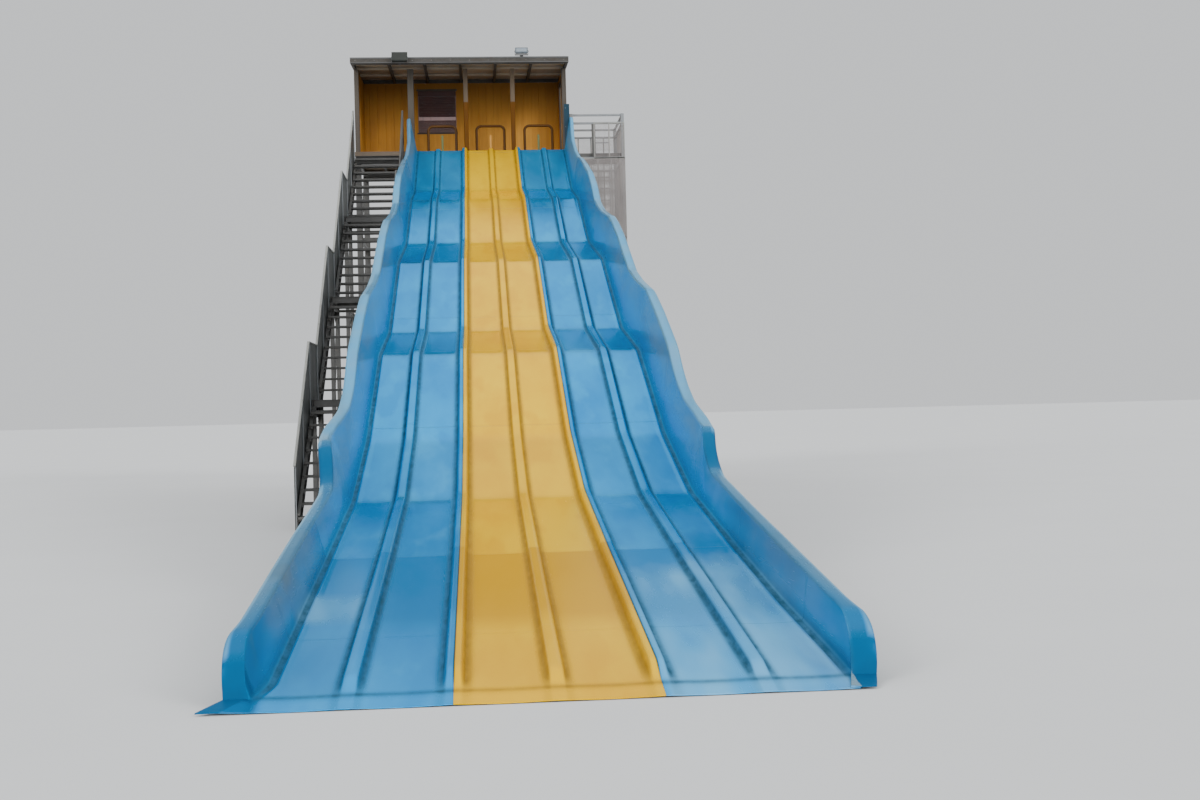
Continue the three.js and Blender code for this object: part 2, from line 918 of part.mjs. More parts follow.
function addOuterPanels() {
  const outside = stairLeft - gap - panelThickness;
  for (const [name, first, last] of stairHalves) {
    const shape = outline(screenOutline(first, last, panelDrop));
    const panel = sidePlate(shape, outside, stairLeft - gap);
    panel.translate(0, first > 0 ? gap : 0, 0);
    add(`stair_outer_panel_${name}`, panel, panelGrey);
  }
}

// Height of the stair's walking line at distance y along the line of one flight and its landing
function lineHeight(line, y) {
  const index = y > line[1][0] ? 1 : 0;
  const [y0, z0] = line[index];
  const [y1, z1] = line[index + 1];
  return THREE.MathUtils.lerp(z0, z1, (y - y0) / (y1 - y0));
}

// Openings of the open rail: an upper and a lower one in each bay
function railHoles(index) {
  const line = screenLine(index, 0);
  const half = innerRailBar / 2;
  const flightHalf = flightRun / 2;
  const bays = [
    [line[0][0], line[0][0] + flightHalf],
    [line[0][0] + flightHalf, line[1][0]],
  ];
  if (line[2][0] > line[1][0]) {
    bays.push([line[1][0], line[2][0]]);
  }
  const levels = [
    [innerRailBar, railHeight / 2 - half],
    [railHeight / 2 + half, railHeight - innerRailBar],
  ];
  const holes = [];
  for (const [near, far] of bays) {
    const y0 = near + half;
    const y1 = far - half;
    for (const [low, high] of levels) {
      const z0 = lineHeight(line, y0);
      const z1 = lineHeight(line, y1);
      const corners = [[y0, z0 + low], [y0, z0 + high], [y1, z1 + high], [y1, z1 + low]];
      holes.push(new THREE.Path(corners.map(([y, z]) => new THREE.Vector2(y, z))));
    }
  }
  return holes;
}

function addInnerRails() {
  const x = stairRight + gap;
  for (const [name, first, last] of stairHalves) {
    const shape = outline(screenOutline(first, last, 0));
    for (let index = first; index <= last; index += 1) {
      shape.holes.push(...railHoles(index));
    }
    const rail = sidePlate(shape, x, x + innerRailBar);
    rail.translate(0, first > 0 ? gap : 0, 0);
    add(`stair_inner_rail_${name}`, rail, steel);
  }
}

function addStair() {
  for (let index = 0; index < flightCount; index += 1) {
    addFlight(index);
  }
  for (let index = 0; index < flightCount - 1; index += 1) {
    addLanding(index);
  }
  addOuterPanels();
  addInnerRails();
}

// Service shaft

function shaftRing(z, sides) {
  const half = shaftPost / 2;
  const left = shaftLeft + half;
  const right = shaftRight - half;
  const front = shaftFront + half;
  const back = shaftBack - half;
  const corners = {
    front: [[left, front, z], [right, front, z]],
    right: [[right, front, z], [right, back, z]],
    back: [[left, back, z], [right, back, z]],
    left: [[left, front, z], [left, back, z]],
  };
  return sides.map((side) => bar(...corners[side], tieSize));
}

function addShaftFrame() {
  const half = shaftPost / 2;
  const pieces = [];
  for (const x of [shaftLeft + half, shaftRight - half]) {
    for (const y of [shaftFront + half, shaftBack - half]) {
      pieces.push(post(x, y, shaftPost, 0, shaftTop));
    }
  }
  const around = ['front', 'right', 'back', 'left'];
  const landingBottom = deckTop - deckThickness - gap;
  for (const z of [tieSize, ...tieHeights(landingBottom), landingBottom - tieSize / 2]) {
    pieces.push(...shaftRing(z, around));
  }
  for (const z of [shaftTop - tieSize / 2, shaftTop - shaftMidRail]) {
    pieces.push(...shaftRing(z, around.slice(0, 3)));
  }
  add('shaft_frame', weld(pieces), steel);
}

// Positions along a length that bound strips and equal openings in turn, from a half strip to a half strip
function gridLine(start, end, openings, halfStrip) {
  const pitch = (end - start) / openings;
  const line = [start];
  for (let i = 0; i < openings; i += 1) {
    line.push(start + i * pitch + halfStrip, start + (i + 1) * pitch - halfStrip);
  }
  line.push(end);
  return line;
}

// Columns of a bent sheet: where each one starts, outside and inside, and whether it has openings
function sheetColumns(corners, openings) {
  const columns = [];
  openings.forEach((count, side) => {
    const from = corners[side];
    const to = corners[side + 1];
    const halfStrip = meshStrip / 2 / from.outer.distanceTo(to.outer);
    gridLine(0, 1, count, halfStrip).slice(0, -1).forEach((share, index) => {
      const outer = from.outer.clone().lerp(to.outer, share);
      const inner = from.inner.clone().lerp(to.inner, share);
      columns.push({ outer, inner, opens: index % 2 === 1 });
    });
  });
  columns.push({ ...corners.at(-1), opens: false });
  return columns;
}

// Upright sheet with a grid of openings, through columns and levels
function openSheet(columns, levels) {
  const rows = levels.length;
  const positions = [];
  for (const { outer, inner } of columns) {
    for (const z of levels) {
      positions.push(outer.x, outer.y, z, inner.x, inner.y, z);
    }
  }
  const triangles = [];
  const quad = (a, b, c, d) => triangles.push(a, b, c, a, c, d);
  const solid = (column, row) => {
    const inside = column >= 0 && row >= 0 && column < columns.length - 1 && row < rows - 1;
    return inside && !(columns[column].opens && row % 2 === 1);
  };
  for (let column = 0; column < columns.length - 1; column += 1) {
    for (let row = 0; row < rows - 1; row += 1) {
      if (!solid(column, row)) {
        continue;
      }
      const a = 2 * (column * rows + row);
      const b = a + 2 * rows;
      const c = b + 2;
      const d = a + 2;
      quad(a, b, c, d);
      quad(a + 1, d + 1, c + 1, b + 1);
      if (!solid(column, row - 1)) {
        quad(a, a + 1, b + 1, b);
      }
      if (!solid(column, row + 1)) {
        quad(d, c, c + 1, d + 1);
      }
      if (!solid(column - 1, row)) {
        quad(a, d, d + 1, a + 1);
      }
      if (!solid(column + 1, row)) {
        quad(b, b + 1, c + 1, c);
      }
    }
  }
  const geometry = new THREE.BufferGeometry();
  geometry.setAttribute('position', new THREE.Float32BufferAttribute(positions, 3));
  geometry.setIndex(triangles);
  return geometry;
}

// Netting round three sides of the shaft, as a coarse grid
function addShaftMesh() {
  const inner = shaftRight + gap;
  const front = shaftFront - gap;
  const back = shaftBack + gap;
  const point = (x, y) => new THREE.Vector2(x, y);
  const outside = inner + meshThickness;
  const corners = [
    { outer: point(shaftLeft, front - meshThickness), inner: point(shaftLeft, front) },
    { outer: point(outside, front - meshThickness), inner: point(inner, front) },
    { outer: point(outside, back + meshThickness), inner: point(inner, back) },
    { outer: point(shaftLeft, back + meshThickness), inner: point(shaftLeft, back) },
  ];
  const columns = sheetColumns(corners, meshOpenings);
  const levels = gridLine(tieSize, shaftTop - shaftMidRail, meshRows, meshStrip / 2);
  add('shaft_mesh_cladding', openSheet(columns, levels), netting);
}

function addShaftLanding() {
  const inner = shaftPost + gap;
  const plan = outline([
    [deckRight + gap, shaftFront + inner],
    [shaftRight - inner, shaftFront + inner],
    [shaftRight - inner, hatchFrom],
    [hatchLeft, hatchFrom],
    [hatchLeft, shaftBack - inner],
    [deckRight + gap, shaftBack - inner],
  ]);
  const plate = new THREE.ExtrudeGeometry(plan, { depth: deckThickness, bevelEnabled: false });
  plate.translate(0, 0, deckTop - deckThickness);
  add('shaft_landing', plate, darkSteel);
}

function addShaftLadder() {
  const y = shaftBack - shaftPost / 2 - tieSize / 2 - gap - ladderRailSize / 2;
  const centre = (hatchLeft + shaftRight - shaftPost) / 2;
  const half = ladderWidth / 2;
  const pieces = [];
  for (const side of [-1, 1]) {
    pieces.push(post(centre + side * half, y, ladderRailSize, 0, ladderTop));
  }
  for (let z = rungSpacing; z < ladderTop; z += rungSpacing) {
    pieces.push(bar([centre - half, y, z], [centre + half, y, z], ladderRailSize / 2));
  }
  add('shaft_ladder', weld(pieces), steel);
}

addSlide();
addSlideSupports();
addTower();
addBackWall();
addSideWalls();
addPosts();
addRoof();
addFloodlights();
addHoops();
addStair();
addShaftFrame();
addShaftMesh();
addShaftLanding();
addShaftLadder();

// Shift the model so that the origin is the centre of its base
const bounds = new THREE.Box3().setFromObject(model);
model.position.set(0, -(bounds.min.y + bounds.max.y) / 2, 0);

const slideTower = new THREE.Group();
slideTower.add(model);

export default slideTower;
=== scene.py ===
"""Looks of the water slide tower: moulded slide strips, steelwork, launch cabin, stair and shaft.

Metres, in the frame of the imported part: +X right, +Y from the pool end back to the tower, +Z up.
A distance named run or back is measured behind the slide's front edge, and place() turns it into y.
"""

import math
import random
from itertools import pairwise

import bmesh
import bpy
import numpy as np
from mathutils import Matrix, Vector


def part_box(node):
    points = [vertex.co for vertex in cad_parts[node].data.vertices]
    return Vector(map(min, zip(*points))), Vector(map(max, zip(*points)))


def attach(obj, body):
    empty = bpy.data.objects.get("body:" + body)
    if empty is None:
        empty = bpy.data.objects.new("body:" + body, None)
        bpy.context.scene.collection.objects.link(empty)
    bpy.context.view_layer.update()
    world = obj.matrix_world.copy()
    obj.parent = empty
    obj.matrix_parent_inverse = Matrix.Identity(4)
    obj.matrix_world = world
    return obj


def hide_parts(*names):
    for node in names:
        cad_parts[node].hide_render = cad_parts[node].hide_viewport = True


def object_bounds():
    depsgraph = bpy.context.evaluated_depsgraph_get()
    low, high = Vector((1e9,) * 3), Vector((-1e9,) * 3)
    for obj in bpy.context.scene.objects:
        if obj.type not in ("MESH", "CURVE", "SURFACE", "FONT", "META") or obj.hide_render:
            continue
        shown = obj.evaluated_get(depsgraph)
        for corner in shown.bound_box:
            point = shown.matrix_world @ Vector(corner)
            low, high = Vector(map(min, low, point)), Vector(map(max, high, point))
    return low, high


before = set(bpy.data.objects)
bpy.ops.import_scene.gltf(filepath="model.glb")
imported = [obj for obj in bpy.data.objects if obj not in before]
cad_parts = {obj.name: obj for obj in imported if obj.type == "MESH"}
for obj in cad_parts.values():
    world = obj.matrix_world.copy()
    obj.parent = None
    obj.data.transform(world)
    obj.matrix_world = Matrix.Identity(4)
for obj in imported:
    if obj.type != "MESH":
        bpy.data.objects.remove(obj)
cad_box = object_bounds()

dice = random.Random(7)
upward = (0, 0, 1)
rearward = (0, 1, 0)
forward = (0, -1, 0)
gap = 0.0003  # between two pieces that touch

# Slide

# Of two values in braces the first is for the left wall, -1, and the second for the right, 1.
strip_width = 1.28
strip_edge = strip_width / 2 - 0.0005
lane_middles = [strip_width / 2 * (lane + 0.5) for lane in range(-3, 3)]
front_module = 1.5
module = 2.6
module_count = 10
slide_run = front_module + module_count * module
section_ends = {"runout": (0, 3), "lower_slope": (3, 7), "upper_slope": (7, 10)}
floor_points = [
    (0, 0.03), (4.1, 0.513), (6.7, 0.839), (8.95, 1.435), (11.6, 2.551), (13.9, 2.975),
    (17.1, 4.362), (20.1, 4.998), (22.9, 6.254), (24.9, 6.723), (27.5, 8.1),
]
wall_points = [
    (0, 0.745), (7.0, 0.735), (7.9, 0.68), (8.5, 0.73), (9.4, 0.915),
    (10.7, 0.9), (11.7, 0.84), (12.9, 0.85), (13.9, 0.91), (15.7, 0.9), (16.5, 0.85),
    (17.3, 0.75), (18.8, 0.735), (19.7, 0.79), (20.9, 0.915), (21.8, 0.89), (22.9, 0.745),
    (24.3, 0.785), (24.9, 0.75), (25.8, 0.57), (26.8, 0.5), (27.5, 0.79),
]
floor_bend = 0.26
wall_bend = 0.3
skin = 0.007
rib_height = 0.048
flange_run = 0.19
flange_edge = 0.014
flange_tip = {-1: 0.13, 1: -0.055}

# Outer walls of the slide: their low part, the steep end of the slopes' wall, and the rounded nose
low_wall = 0.35
wall_foot = strip_edge - 0.166
wall_lean = 0.09
step_top = {-1: 6.12, 1: 6.38}
step_length = 0.72
step_flare = {-1: (0.075, 0.63, 0.8), 1: (-0.03, -0.1, 0.3)}
low_flare = {-1: 0.035, 1: 0.0}
nose_run = 0.325
nose_flare = 0.045
nose_foot = {-1: 0.07, 1: 0.045}
nose_foot_end = {-1: 0.5, 1: 2.6}
nose_lip = {-1: 0.008, 1: 0.035}
lip_width = 0.13
lip_back = 0.104
top_lip = 0.045

# Deck and cabin
deck_top = 8.1
deck_depth = 0.1
deck_front = slide_run + gap
deck_back = 30.1
deck_left = -3.28 + gap
deck_right = 1.88
on_deck = deck_top + gap
under_deck = deck_top - deck_depth - gap
roof_front = 27.06
roof_back = 30.25
roof_left = -3.29
roof_right = 1.89
roof_low = 10.1
roof_slope = 0.065
rafter_depth = 0.1
fascia_front = roof_front - 0.04 - gap
fascia_top = roof_low + 0.17
trimmer_rows = (28.1, 29.1)
window_x = (-1.83, -0.85)
window_sill = deck_top + 0.91
window_head = deck_top + 1.99
doorway = (28.5, 29.4)
doorway_head = deck_top + 1.93
wall_thickness = 0.08
post_line = 27.79

# Steelwork
plate_top = 0.02
lowest_tie = 0.06
lowest_brace = 0.08
beam_half = 1.9
trestle_posts = (-1.75, 0.0, 1.75)
column_half = 0.07
tower_columns = (deck_left + column_half, -1.95, 0.0, deck_right - column_half)

# Stair
stair_left = -3.28 + gap
stair_right = -2.145
flight_count = 4
flight_steps = 10
riser = deck_top / (flight_count * flight_steps)
going = 0.26
flight_rise = flight_steps * riser
flight_run = (flight_steps - 1) * going
tread_depth = 0.285
landing_run = 1.25
landing_depth = 0.12
rail_height = 1.0
rail_spacing = 1.17

# Shaft
shaft_left = 1.96
shaft_right = 3.312 - gap
shaft_front = 28.01
shaft_back = 30.1
shaft_top = 9.07
shaft_rail = shaft_top - 0.23
shaft_post = 0.08
gate_post = 2.55
hatch_left = 2.55
hatch_front = 29.2


def place(back):
    """The y of a distance behind the slide's front edge."""
    return back + cad_box[0].y


def joint_at(index):
    """Distance of a joint between two mouldings; 0 is the first behind the front edge."""
    return front_module + index * module


# Meshes


def flat_section(width, height):
    """A rectangle as the section of a bar."""
    u, v = width / 2, height / 2
    return [(-u, -v), (u, -v), (u, v), (-u, v)]


def box_section(width, height, chamfer=0.006):
    """A rectangle with cut corners, as the section of a tube or board."""
    u, v, c = width / 2, height / 2, chamfer
    return [(-u, -v + c), (-u + c, -v), (u - c, -v), (u, -v + c),
            (u, v - c), (u - c, v), (-u + c, v), (-u, v - c)]


def round_section(radius, sides=12):
    """A circle as the section of a tube."""
    turns = [2 * math.pi * i / sides for i in range(sides)]
    return [(radius * math.cos(a), radius * math.sin(a)) for a in turns]


def beam_section(width, height, flange=0.011, web=0.008):
    """An I as the section of a rolled beam."""
    u, v, w = width / 2, height / 2, web / 2
    return [(-u, -v), (u, -v), (u, -v + flange), (w, -v + flange), (w, v - flange), (u, v - flange),
            (u, v), (-u, v), (-u, v - flange), (-w, v - flange), (-w, -v + flange), (-u, -v + flange)]


def angle_section(size, thickness=0.007):
    """An L as the section of a rolled angle, centred on its corner's middle."""
    h, t = size / 2, thickness
    return [(-h, -h), (h, -h), (h, -h + t), (-h + t, -h + t), (-h + t, h), (-h, h)]


def tube_faces(sides, rings=2):
    """Faces round a tube of rings."""
    return [(a + j, a + (j + 1) % sides, a + sides + (j + 1) % sides, a + sides + j)
            for a in range(0, (rings - 1) * sides, sides) for j in range(sides)]


def end_faces(sides, rings=2):
    """The two flat ends of a tube of rings."""
    last = (rings - 1) * sides
    return [tuple(range(sides)), tuple(range(last, last + sides))]


def folded_end_faces(sides, rings=2):
    """The two ends of a tube whose rings run out along one line and back along a second."""
    return [(a + j, a + j + 1, a + sides - 2 - j, a + sides - 1 - j)
            for a in (0, (rings - 1) * sides) for j in range(sides // 2 - 1)]


def four_corners(x, y, reach, depth=None):
    """Four places round a centre."""
    return [(x + dx * reach, y + dy * (depth or reach)) for dx in (-1, 1) for dy in (-1, 1)]


class Shape:
    """The mesh of one piece, gathered from closed parts. Each part has a material number and a tone."""

    def __init__(self):
        self.points = []
        self.faces = []
        self.slots = []
        self.tones = []

    def add(self, points, faces, slot=0, tone=None):
        """Adds points and faces that count from their own first point."""
        base = len(self.points)
        self.points.extend(points)
        self.faces.extend(tuple(base + i for i in face) for face in faces)
        self.slots.extend([slot] * len(faces))
        self.tones.extend([dice.random() if tone is None else tone] * len(points))

    def sweep(self, section, path, up=upward, slot=0, tone=None):
        """A section carried along a path; its second axis points towards up."""
        path = [Vector(p) for p in path]
        points = []
        for i, point in enumerate(path):
            along = (path[min(i + 1, len(path) - 1)] - path[max(i - 1, 0)]).normalized()
            side = along.cross(Vector(up)).normalized()
            lift = side.cross(along)
            points.extend(point + side * u + lift * v for u, v in section)
        sides, rings = len(section), len(path)
        self.add(points, tube_faces(sides, rings) + end_faces(sides, rings), slot, tone)

    def tube(self, start, end, size, chamfer=0.005, up=upward, slot=0, tone=None):
        """A straight tube or bar; size is its width, or its width and height."""
        width, height = size if isinstance(size, tuple) else (size, size)
        self.sweep(box_section(width, height, chamfer), [start, end], up, slot, tone)

    def post(self, x, y, low, high, size, chamfer=0.005, slot=0):
        """An upright tube between two heights."""
        self.tube((x, y, low), (x, y, high), size, chamfer, rearward, slot)

    def rod(self, at, height, radius, sides=12, slot=0, tone=None):
        """An upright round bar or disc."""
        at = Vector(at)
        self.sweep(round_section(radius, sides), [at, at + Vector((0, 0, height))], rearward, slot, tone)

    def box(self, low, high, slot=0, tone=None, chamfer=0.004):
        """A board or block between two corners, its long edges cut."""
        low, high = tuple(map(min, low, high)), tuple(map(max, low, high))
        size = [high[i] - low[i] for i in range(3)]
        axis = size.index(max(size))
        u, v = [(1, 2), (0, 2), (0, 1)][axis]
        middle = [(low[i] + high[i]) / 2 for i in range(3)]
        points = []
        for end in (low[axis], high[axis]):
            for p, q in box_section(size[u], size[v], min(chamfer, size[u] / 3, size[v] / 3)):
                point = list(middle)
                point[axis], point[u], point[v] = end, middle[u] + p, middle[v] + q
                points.append(Vector(point))
        self.add(points, tube_faces(8) + end_faces(8), slot, tone)

    def plate(self, outline, offset, slot=0, tone=None, ends=end_faces):
        """A flat plate: its outline's points and the vector of its thickness."""
        sides = len(outline)
        points = [Vector(p) for p in outline]
        points += [p + Vector(offset) for p in points]
        self.add(points, tube_faces(sides) + ends(sides), slot, tone)

    def bolt(self, at, axis, size=0.024, height=0.014, slot=0):
        """A hexagon head that stands on a face."""
        at, axis = Vector(at), Vector(axis)
        up = upward if abs(axis.z) < 0.9 else rearward
        self.sweep(round_section(size / 2, 6), [at - axis * 0.002, at + axis * height], up, slot, 0.5)

    def build(self, name, materials, slot, replaces=(), sharp=35, wear=None):
        """Makes the object with its named materials, rides it on the part and hides the parts that it
        replaces.
        """
        mesh = bpy.data.meshes.new(name)
        mesh.from_pydata([tuple(p) for p in self.points], [], self.faces)
        mesh.polygons.foreach_set("material_index", self.slots)
        mesh.attributes.new("tone", "FLOAT", "POINT").data.foreach_set("value", self.tones)
        # wear: a shell's soiling, painted shade and painted highlight, per point
        if wear is not None:
            mesh.attributes.new("wear", "FLOAT", "POINT").data.foreach_set("value", wear)
        work = bmesh.new()
        work.from_mesh(mesh)
        bmesh.ops.recalc_face_normals(work, faces=work.faces)
        work.to_mesh(mesh)
        work.free()
        mesh.shade_smooth()
        mesh.set_sharp_from_angle(angle=math.radians(sharp))
        for material in materials:
            mesh.materials.append(looks[material])
        piece = bpy.data.objects.new(name, mesh)
        bpy.context.scene.collection.objects.link(piece)
        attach(piece, "root")
        if replaces:
            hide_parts(*replaces)
        return piece


# Materials


class Nodes:
    """Short names for the nodes of one tree. Patterns lie in one of the coordinates of the object."""

    def __init__(self, tree, coordinates):
        self.nodes, self.links = tree.nodes, tree.links
        self.where = self.nodes.new("ShaderNodeTexCoord").outputs[coordinates]

    def link(self, source, target):
        """Connects an output to an input, or sets the input to a plain value."""
        if isinstance(source, bpy.types.NodeSocket):
            self.links.new(source, target)
        else:
            target.default_value = source

    def axis(self, name):
        """One coordinate of the point, X, Y or Z."""
        node = self.nodes.new("ShaderNodeSeparateXYZ")
        self.links.new(self.where, node.inputs[0])
        return node.outputs[name]

    def span(self, value, start, end, low=0.0, high=1.0, kind="LINEAR"):
        """Maps a value between start and end to low and high, and holds it there."""
        node = self.nodes.new("ShaderNodeMapRange")
        node.interpolation_type = kind
        self.link(value, node.inputs["Value"])
        for socket, number in zip(("From Min", "From Max", "To Min", "To Max"), (start, end, low, high)):
            node.inputs[socket].default_value = number
        return node.outputs["Result"]

    def mix(self, share, first, second):
        """A blend of two colours."""
        node = self.nodes.new("ShaderNodeMix")
        node.data_type = "RGBA"
        self.link(share, node.inputs[0])
        for source, target in ((first, node.inputs[6]), (second, node.inputs[7])):
            self.link((*source, 1.0) if isinstance(source, tuple) else source, target)
        return node.outputs[2]


class Finish(Nodes):
    """A material built from noise, ranges and mixes. tint is its colour so far."""

    def __init__(self, name, **sockets):
        self.material = bpy.data.materials.new(name)
        self.material.use_nodes = True
        super().__init__(self.material.node_tree, "Object")
        self.shader = self.nodes["Principled BSDF"]
        self.tint = None
        for socket, value in sockets.items():
            self.shader.inputs[socket.replace("_", " ")].default_value = value

    def noise(self, scale, stretch=(1, 1, 1), detail=4.0, rough=0.55):
        """Noise with a number of cells in a metre, drawn out along an axis by stretch."""
        mapping = self.nodes.new("ShaderNodeMapping")
        mapping.inputs["Scale"].default_value = stretch
        self.links.new(self.where, mapping.inputs["Vector"])
        node = self.nodes.new("ShaderNodeTexNoise")
        for socket, value in (("Scale", scale), ("Detail", detail), ("Roughness", rough)):
            node.inputs[socket].default_value = value
        self.links.new(mapping.outputs["Vector"], node.inputs["Vector"])
        return node.outputs["Fac"]

    def math(self, kind, first, second):
        """One sum on two values."""
        node = self.nodes.new("ShaderNodeMath")
        node.operation = kind
        self.link(first, node.inputs[0])
        self.link(second, node.inputs[1])
        return node.outputs[0]

    def times(self, first, second):
        return self.math("MULTIPLY", first, second)

    def plus(self, first, second):
        return self.math("ADD", first, second)

    def either(self, first, second):
        return self.math("MAXIMUM", first, second)

    def spots(self, pattern, start, end, share):
        """Where a pattern passes from start to end, as far as a share."""
        return self.times(self.span(pattern, start, end), share)

    def attribute(self, name):
        node = self.nodes.new("ShaderNodeAttribute")
        node.attribute_name = name
        return node.outputs["Fac"]

    def lay(self, share, colour):
        """Lays a colour over the tint."""
        self.tint = self.mix(share, self.tint, colour)

    def done(self, roughness, bump=None, height=0.002):
        """Connects the tint, the roughness and the bump, and returns the material."""
        self.links.new(self.tint, self.shader.inputs["Base Color"])
        self.link(roughness, self.shader.inputs["Roughness"])
        if bump is not None:
            node = self.nodes.new("ShaderNodeBump")
            node.inputs["Strength"].default_value = 1.0
            node.inputs["Distance"].default_value = height
            self.links.new(bump, node.inputs["Height"])
            self.links.new(node.outputs["Normal"], self.shader.inputs["Normal"])
        return self.material


def darker(colour, share):
    """A share of a colour."""
    return tuple(share * part for part in colour)


class GelCoat(Finish):
    """Glossy moulded shell under a wet film, which mirrors in the shell's own colour."""

    def __init__(self, name, colour, deep, faded, chalk, dirt_and_shade, metal, shine):
        super().__init__(name, Specular_IOR_Level=0.04, Specular_Tint=(*shine, 1))
        self.deep, self.faded, self.chalk, self.dirt_and_shade = deep, faded, chalk, dirt_and_shade
        self.x, self.y = self.axis("X"), self.axis("Y")
        # the wear attribute: soiling, painted shade and painted highlight of the shells
        self.line = self.attribute("wear")
        self.wall = self.span(self.math("ABSOLUTE", self.x, 0), 1.79, 1.86)
        self.clouds = self.noise(0.9, (1.3, 0.35, 1.0), 5.0)
        self.patches = self.noise(1.7, (1.6, 0.5, 1.0), 3.0)
        self.streaks = self.noise(2.4, (1.3, 0.2, 1.0), 2.0, 0.5)
        self.tint = self.mix(self.span(self.clouds, 0.36, 0.64), deep, colour)
        self.lay(self.spots(self.patches, 0.52, 0.7, 0.4), faded)
        self.lay(self.spots(self.streaks, 0.56, 0.64, 0.5), deep)
        self.first_drop = self.along(24.7, 25.1)
        self.lay(self.times(self.first_drop, 0.3), faded)
        self.deepen()
        self.film = self.dried_film()
        self.lay(self.film, chalk)
        self.dust = self.wall_dust_and_shade()
        self.scuffs = self.wall_scuffs()
        self.grime_and_shade = self.edge_dirt_shade_and_highlight()
        self.mirror(metal)

    def along(self, start, end, low=0.0, high=1.0):
        """A range between two distances behind the front edge."""
        return self.span(self.y, place(start), place(end), low, high)

    def zone(self, start, end, soft):
        """One between two distances, with soft ends."""
        return self.times(self.along(start - soft, start + soft), self.along(end + soft, end - soft))

    def deepen(self):
        """The second module, and two wet patches beside the walls, are deeper."""
        start = self.along(joint_at(0) + 0.05, joint_at(0) + 0.5)
        end = self.along(joint_at(1) + 0.02, joint_at(1) - 0.02)
        self.lay(self.times(self.math("MINIMUM", start, end), 0.9), darker(self.deep, 0.85))
        right = self.times(self.zone(3.4, 4.6, 0.3), self.span(self.x, 1.3, 1.42))
        left = self.times(self.zone(0.1, 1.7, 0.2), self.span(self.x, -1.28, -1.34, 0.0, 0.7))
        self.lay(self.times(self.either(right, left), 0.9), darker(self.deep, 0.8))

    def dried_film(self):
        """Haze on the right lanes of the run-out and a spot on the left one, clear of the walls."""
        edge = self.times(self.math("SUBTRACT", self.patches, 0.5), 2.5)
        haze = self.span(self.plus(self.y, edge), place(3.7), place(2.6))
        haze = self.times(haze, self.span(self.x, 0.6, 0.7))
        spot = self.times(self.times(self.zone(1.95, 2.75, 0.12), self.span(self.x, -1.3, -1.4)), 0.9)
        film = self.times(self.plus(haze, spot), self.span(self.streaks, 0.35, 0.6, 0.6, 0.2))
        return self.times(film, self.math("SUBTRACT", 1.0, self.wall))

    def wall_dust_and_shade(self):
        """Dusty walls, and painted shade that makes them darker at their nose."""
        dust = self.noise(2.4, (1, 0.4, 1.4), 6.0, 0.6)
        dusty = self.times(self.wall, self.along(0.5, 1.3, 0.3))
        dust = self.times(dusty, self.span(dust, 0.35, 0.65, 0.45, 0.8))
        self.lay(dust, (0.14, 0.24, 0.32))
        # painted shade: the walls darker towards the nose
        self.lay(self.times(self.wall, self.along(1.3, 0.4, 0.0, 0.7)), darker(self.deep, 0.55))
        return dust

    def wall_scuffs(self):
        """Black scuffs by the run-out, more of them on the left."""
        scuffs = self.noise(1.2, (1, 0.8, 1.0), 2.0, 0.4)
        scuffs = self.times(self.span(scuffs, 0.38, 0.6), self.times(self.wall, self.zone(1.6, 3.2, 0.7)))
        scuffs = self.times(scuffs, self.span(self.x, 1.8, -1.8, 0.3, 0.85))
        self.lay(scuffs, (0.16, 0.17, 0.14))
        return scuffs

    def edge_dirt_shade_and_highlight(self):
        """Pale marks where the wear is below nothing, faded gel coat with a painted highlight; where it is
        above, soiling with painted shade in the creases, feet and flanks; and painted shade that darkens the
        steep ends of the wall.
        """
        # painted highlight with fading: the lip paler where the wear is below nothing
        self.lay(self.spots(self.line, 0.0, -1.0, 0.45), self.chalk)
        # painted shade: this mask darkens the creases, the feet of the walls and the rib's flanks, as well as
        # soiling them
        grime_and_shade = self.noise(14.0, (1.0, 0.4, 1.0), 6.0, 0.7)
        grime_and_shade = self.times(self.span(self.line, 0.0, 1.0), self.span(grime_and_shade, 0.25, 0.6, 0.65, 1.0))
        self.lay(self.times(grime_and_shade, 0.9), self.dirt_and_shade)
        # painted shade: the walls turn darker where the wear is high, at their steep ends, their front end
        # and their foot
        steep_end = self.times(self.wall, self.span(self.line, 0.1, 0.4))
        self.lay(self.times(steep_end, 0.85), darker(self.deep, 0.4))
        return grime_and_shade

    def roughness(self):
        scratches = self.noise(60.0, (1.0, 0.03, 1.0), 2.0)
        rough = self.plus(self.span(self.clouds, 0.3, 0.7, 0.13, 0.2), self.times(self.grime_and_shade, 0.35))
        rough = self.plus(rough, self.span(scratches, 0.6, 0.75, 0.0, 0.08))
        rough = self.plus(rough, self.times(self.first_drop, 0.15))
        return self.plus(rough, self.times(self.plus(self.scuffs, self.film), 0.4))

    def mirror(self, metal):
        """The wet film mirrors less where it is soiled, scuffed or dusty, in the creases marked for painted
        shade, and at the start of the run-out.
        """
        dull = self.either(self.times(self.grime_and_shade, 0.8), self.either(self.scuffs, self.times(self.dust, 0.6)))
        dull = self.either(dull, self.along(6.6, 5.4, 0.0, 0.35))
        shine = self.math("SUBTRACT", metal, self.times(dull, metal))
        self.links.new(shine, self.shader.inputs["Metallic"])


def gel_coat(*values):
    """The gel coat of a strip, with the fine dimples of its mould."""
    make = GelCoat(*values)
    return make.done(make.roughness(), make.noise(35.0, (1, 1, 1), 2.0), 0.0004)


def laminate(name, colour, dark):
    """The rough back of a moulding: matt resin over a coarse fibre mat."""
    make = Finish(name)
    fibre = make.noise(55.0, (1, 1, 1), 6.0, 0.7)
    make.tint = make.mix(make.span(fibre, 0.35, 0.65), dark, colour)
    damp = make.noise(1.5, (1, 1, 0.5), 5.0)
    make.lay(make.spots(damp, 0.5, 0.7, 0.6), (0.09, 0.1, 0.07))
    return make.done(make.span(fibre, 0.3, 0.7, 0.55, 0.8), fibre, 0.003)


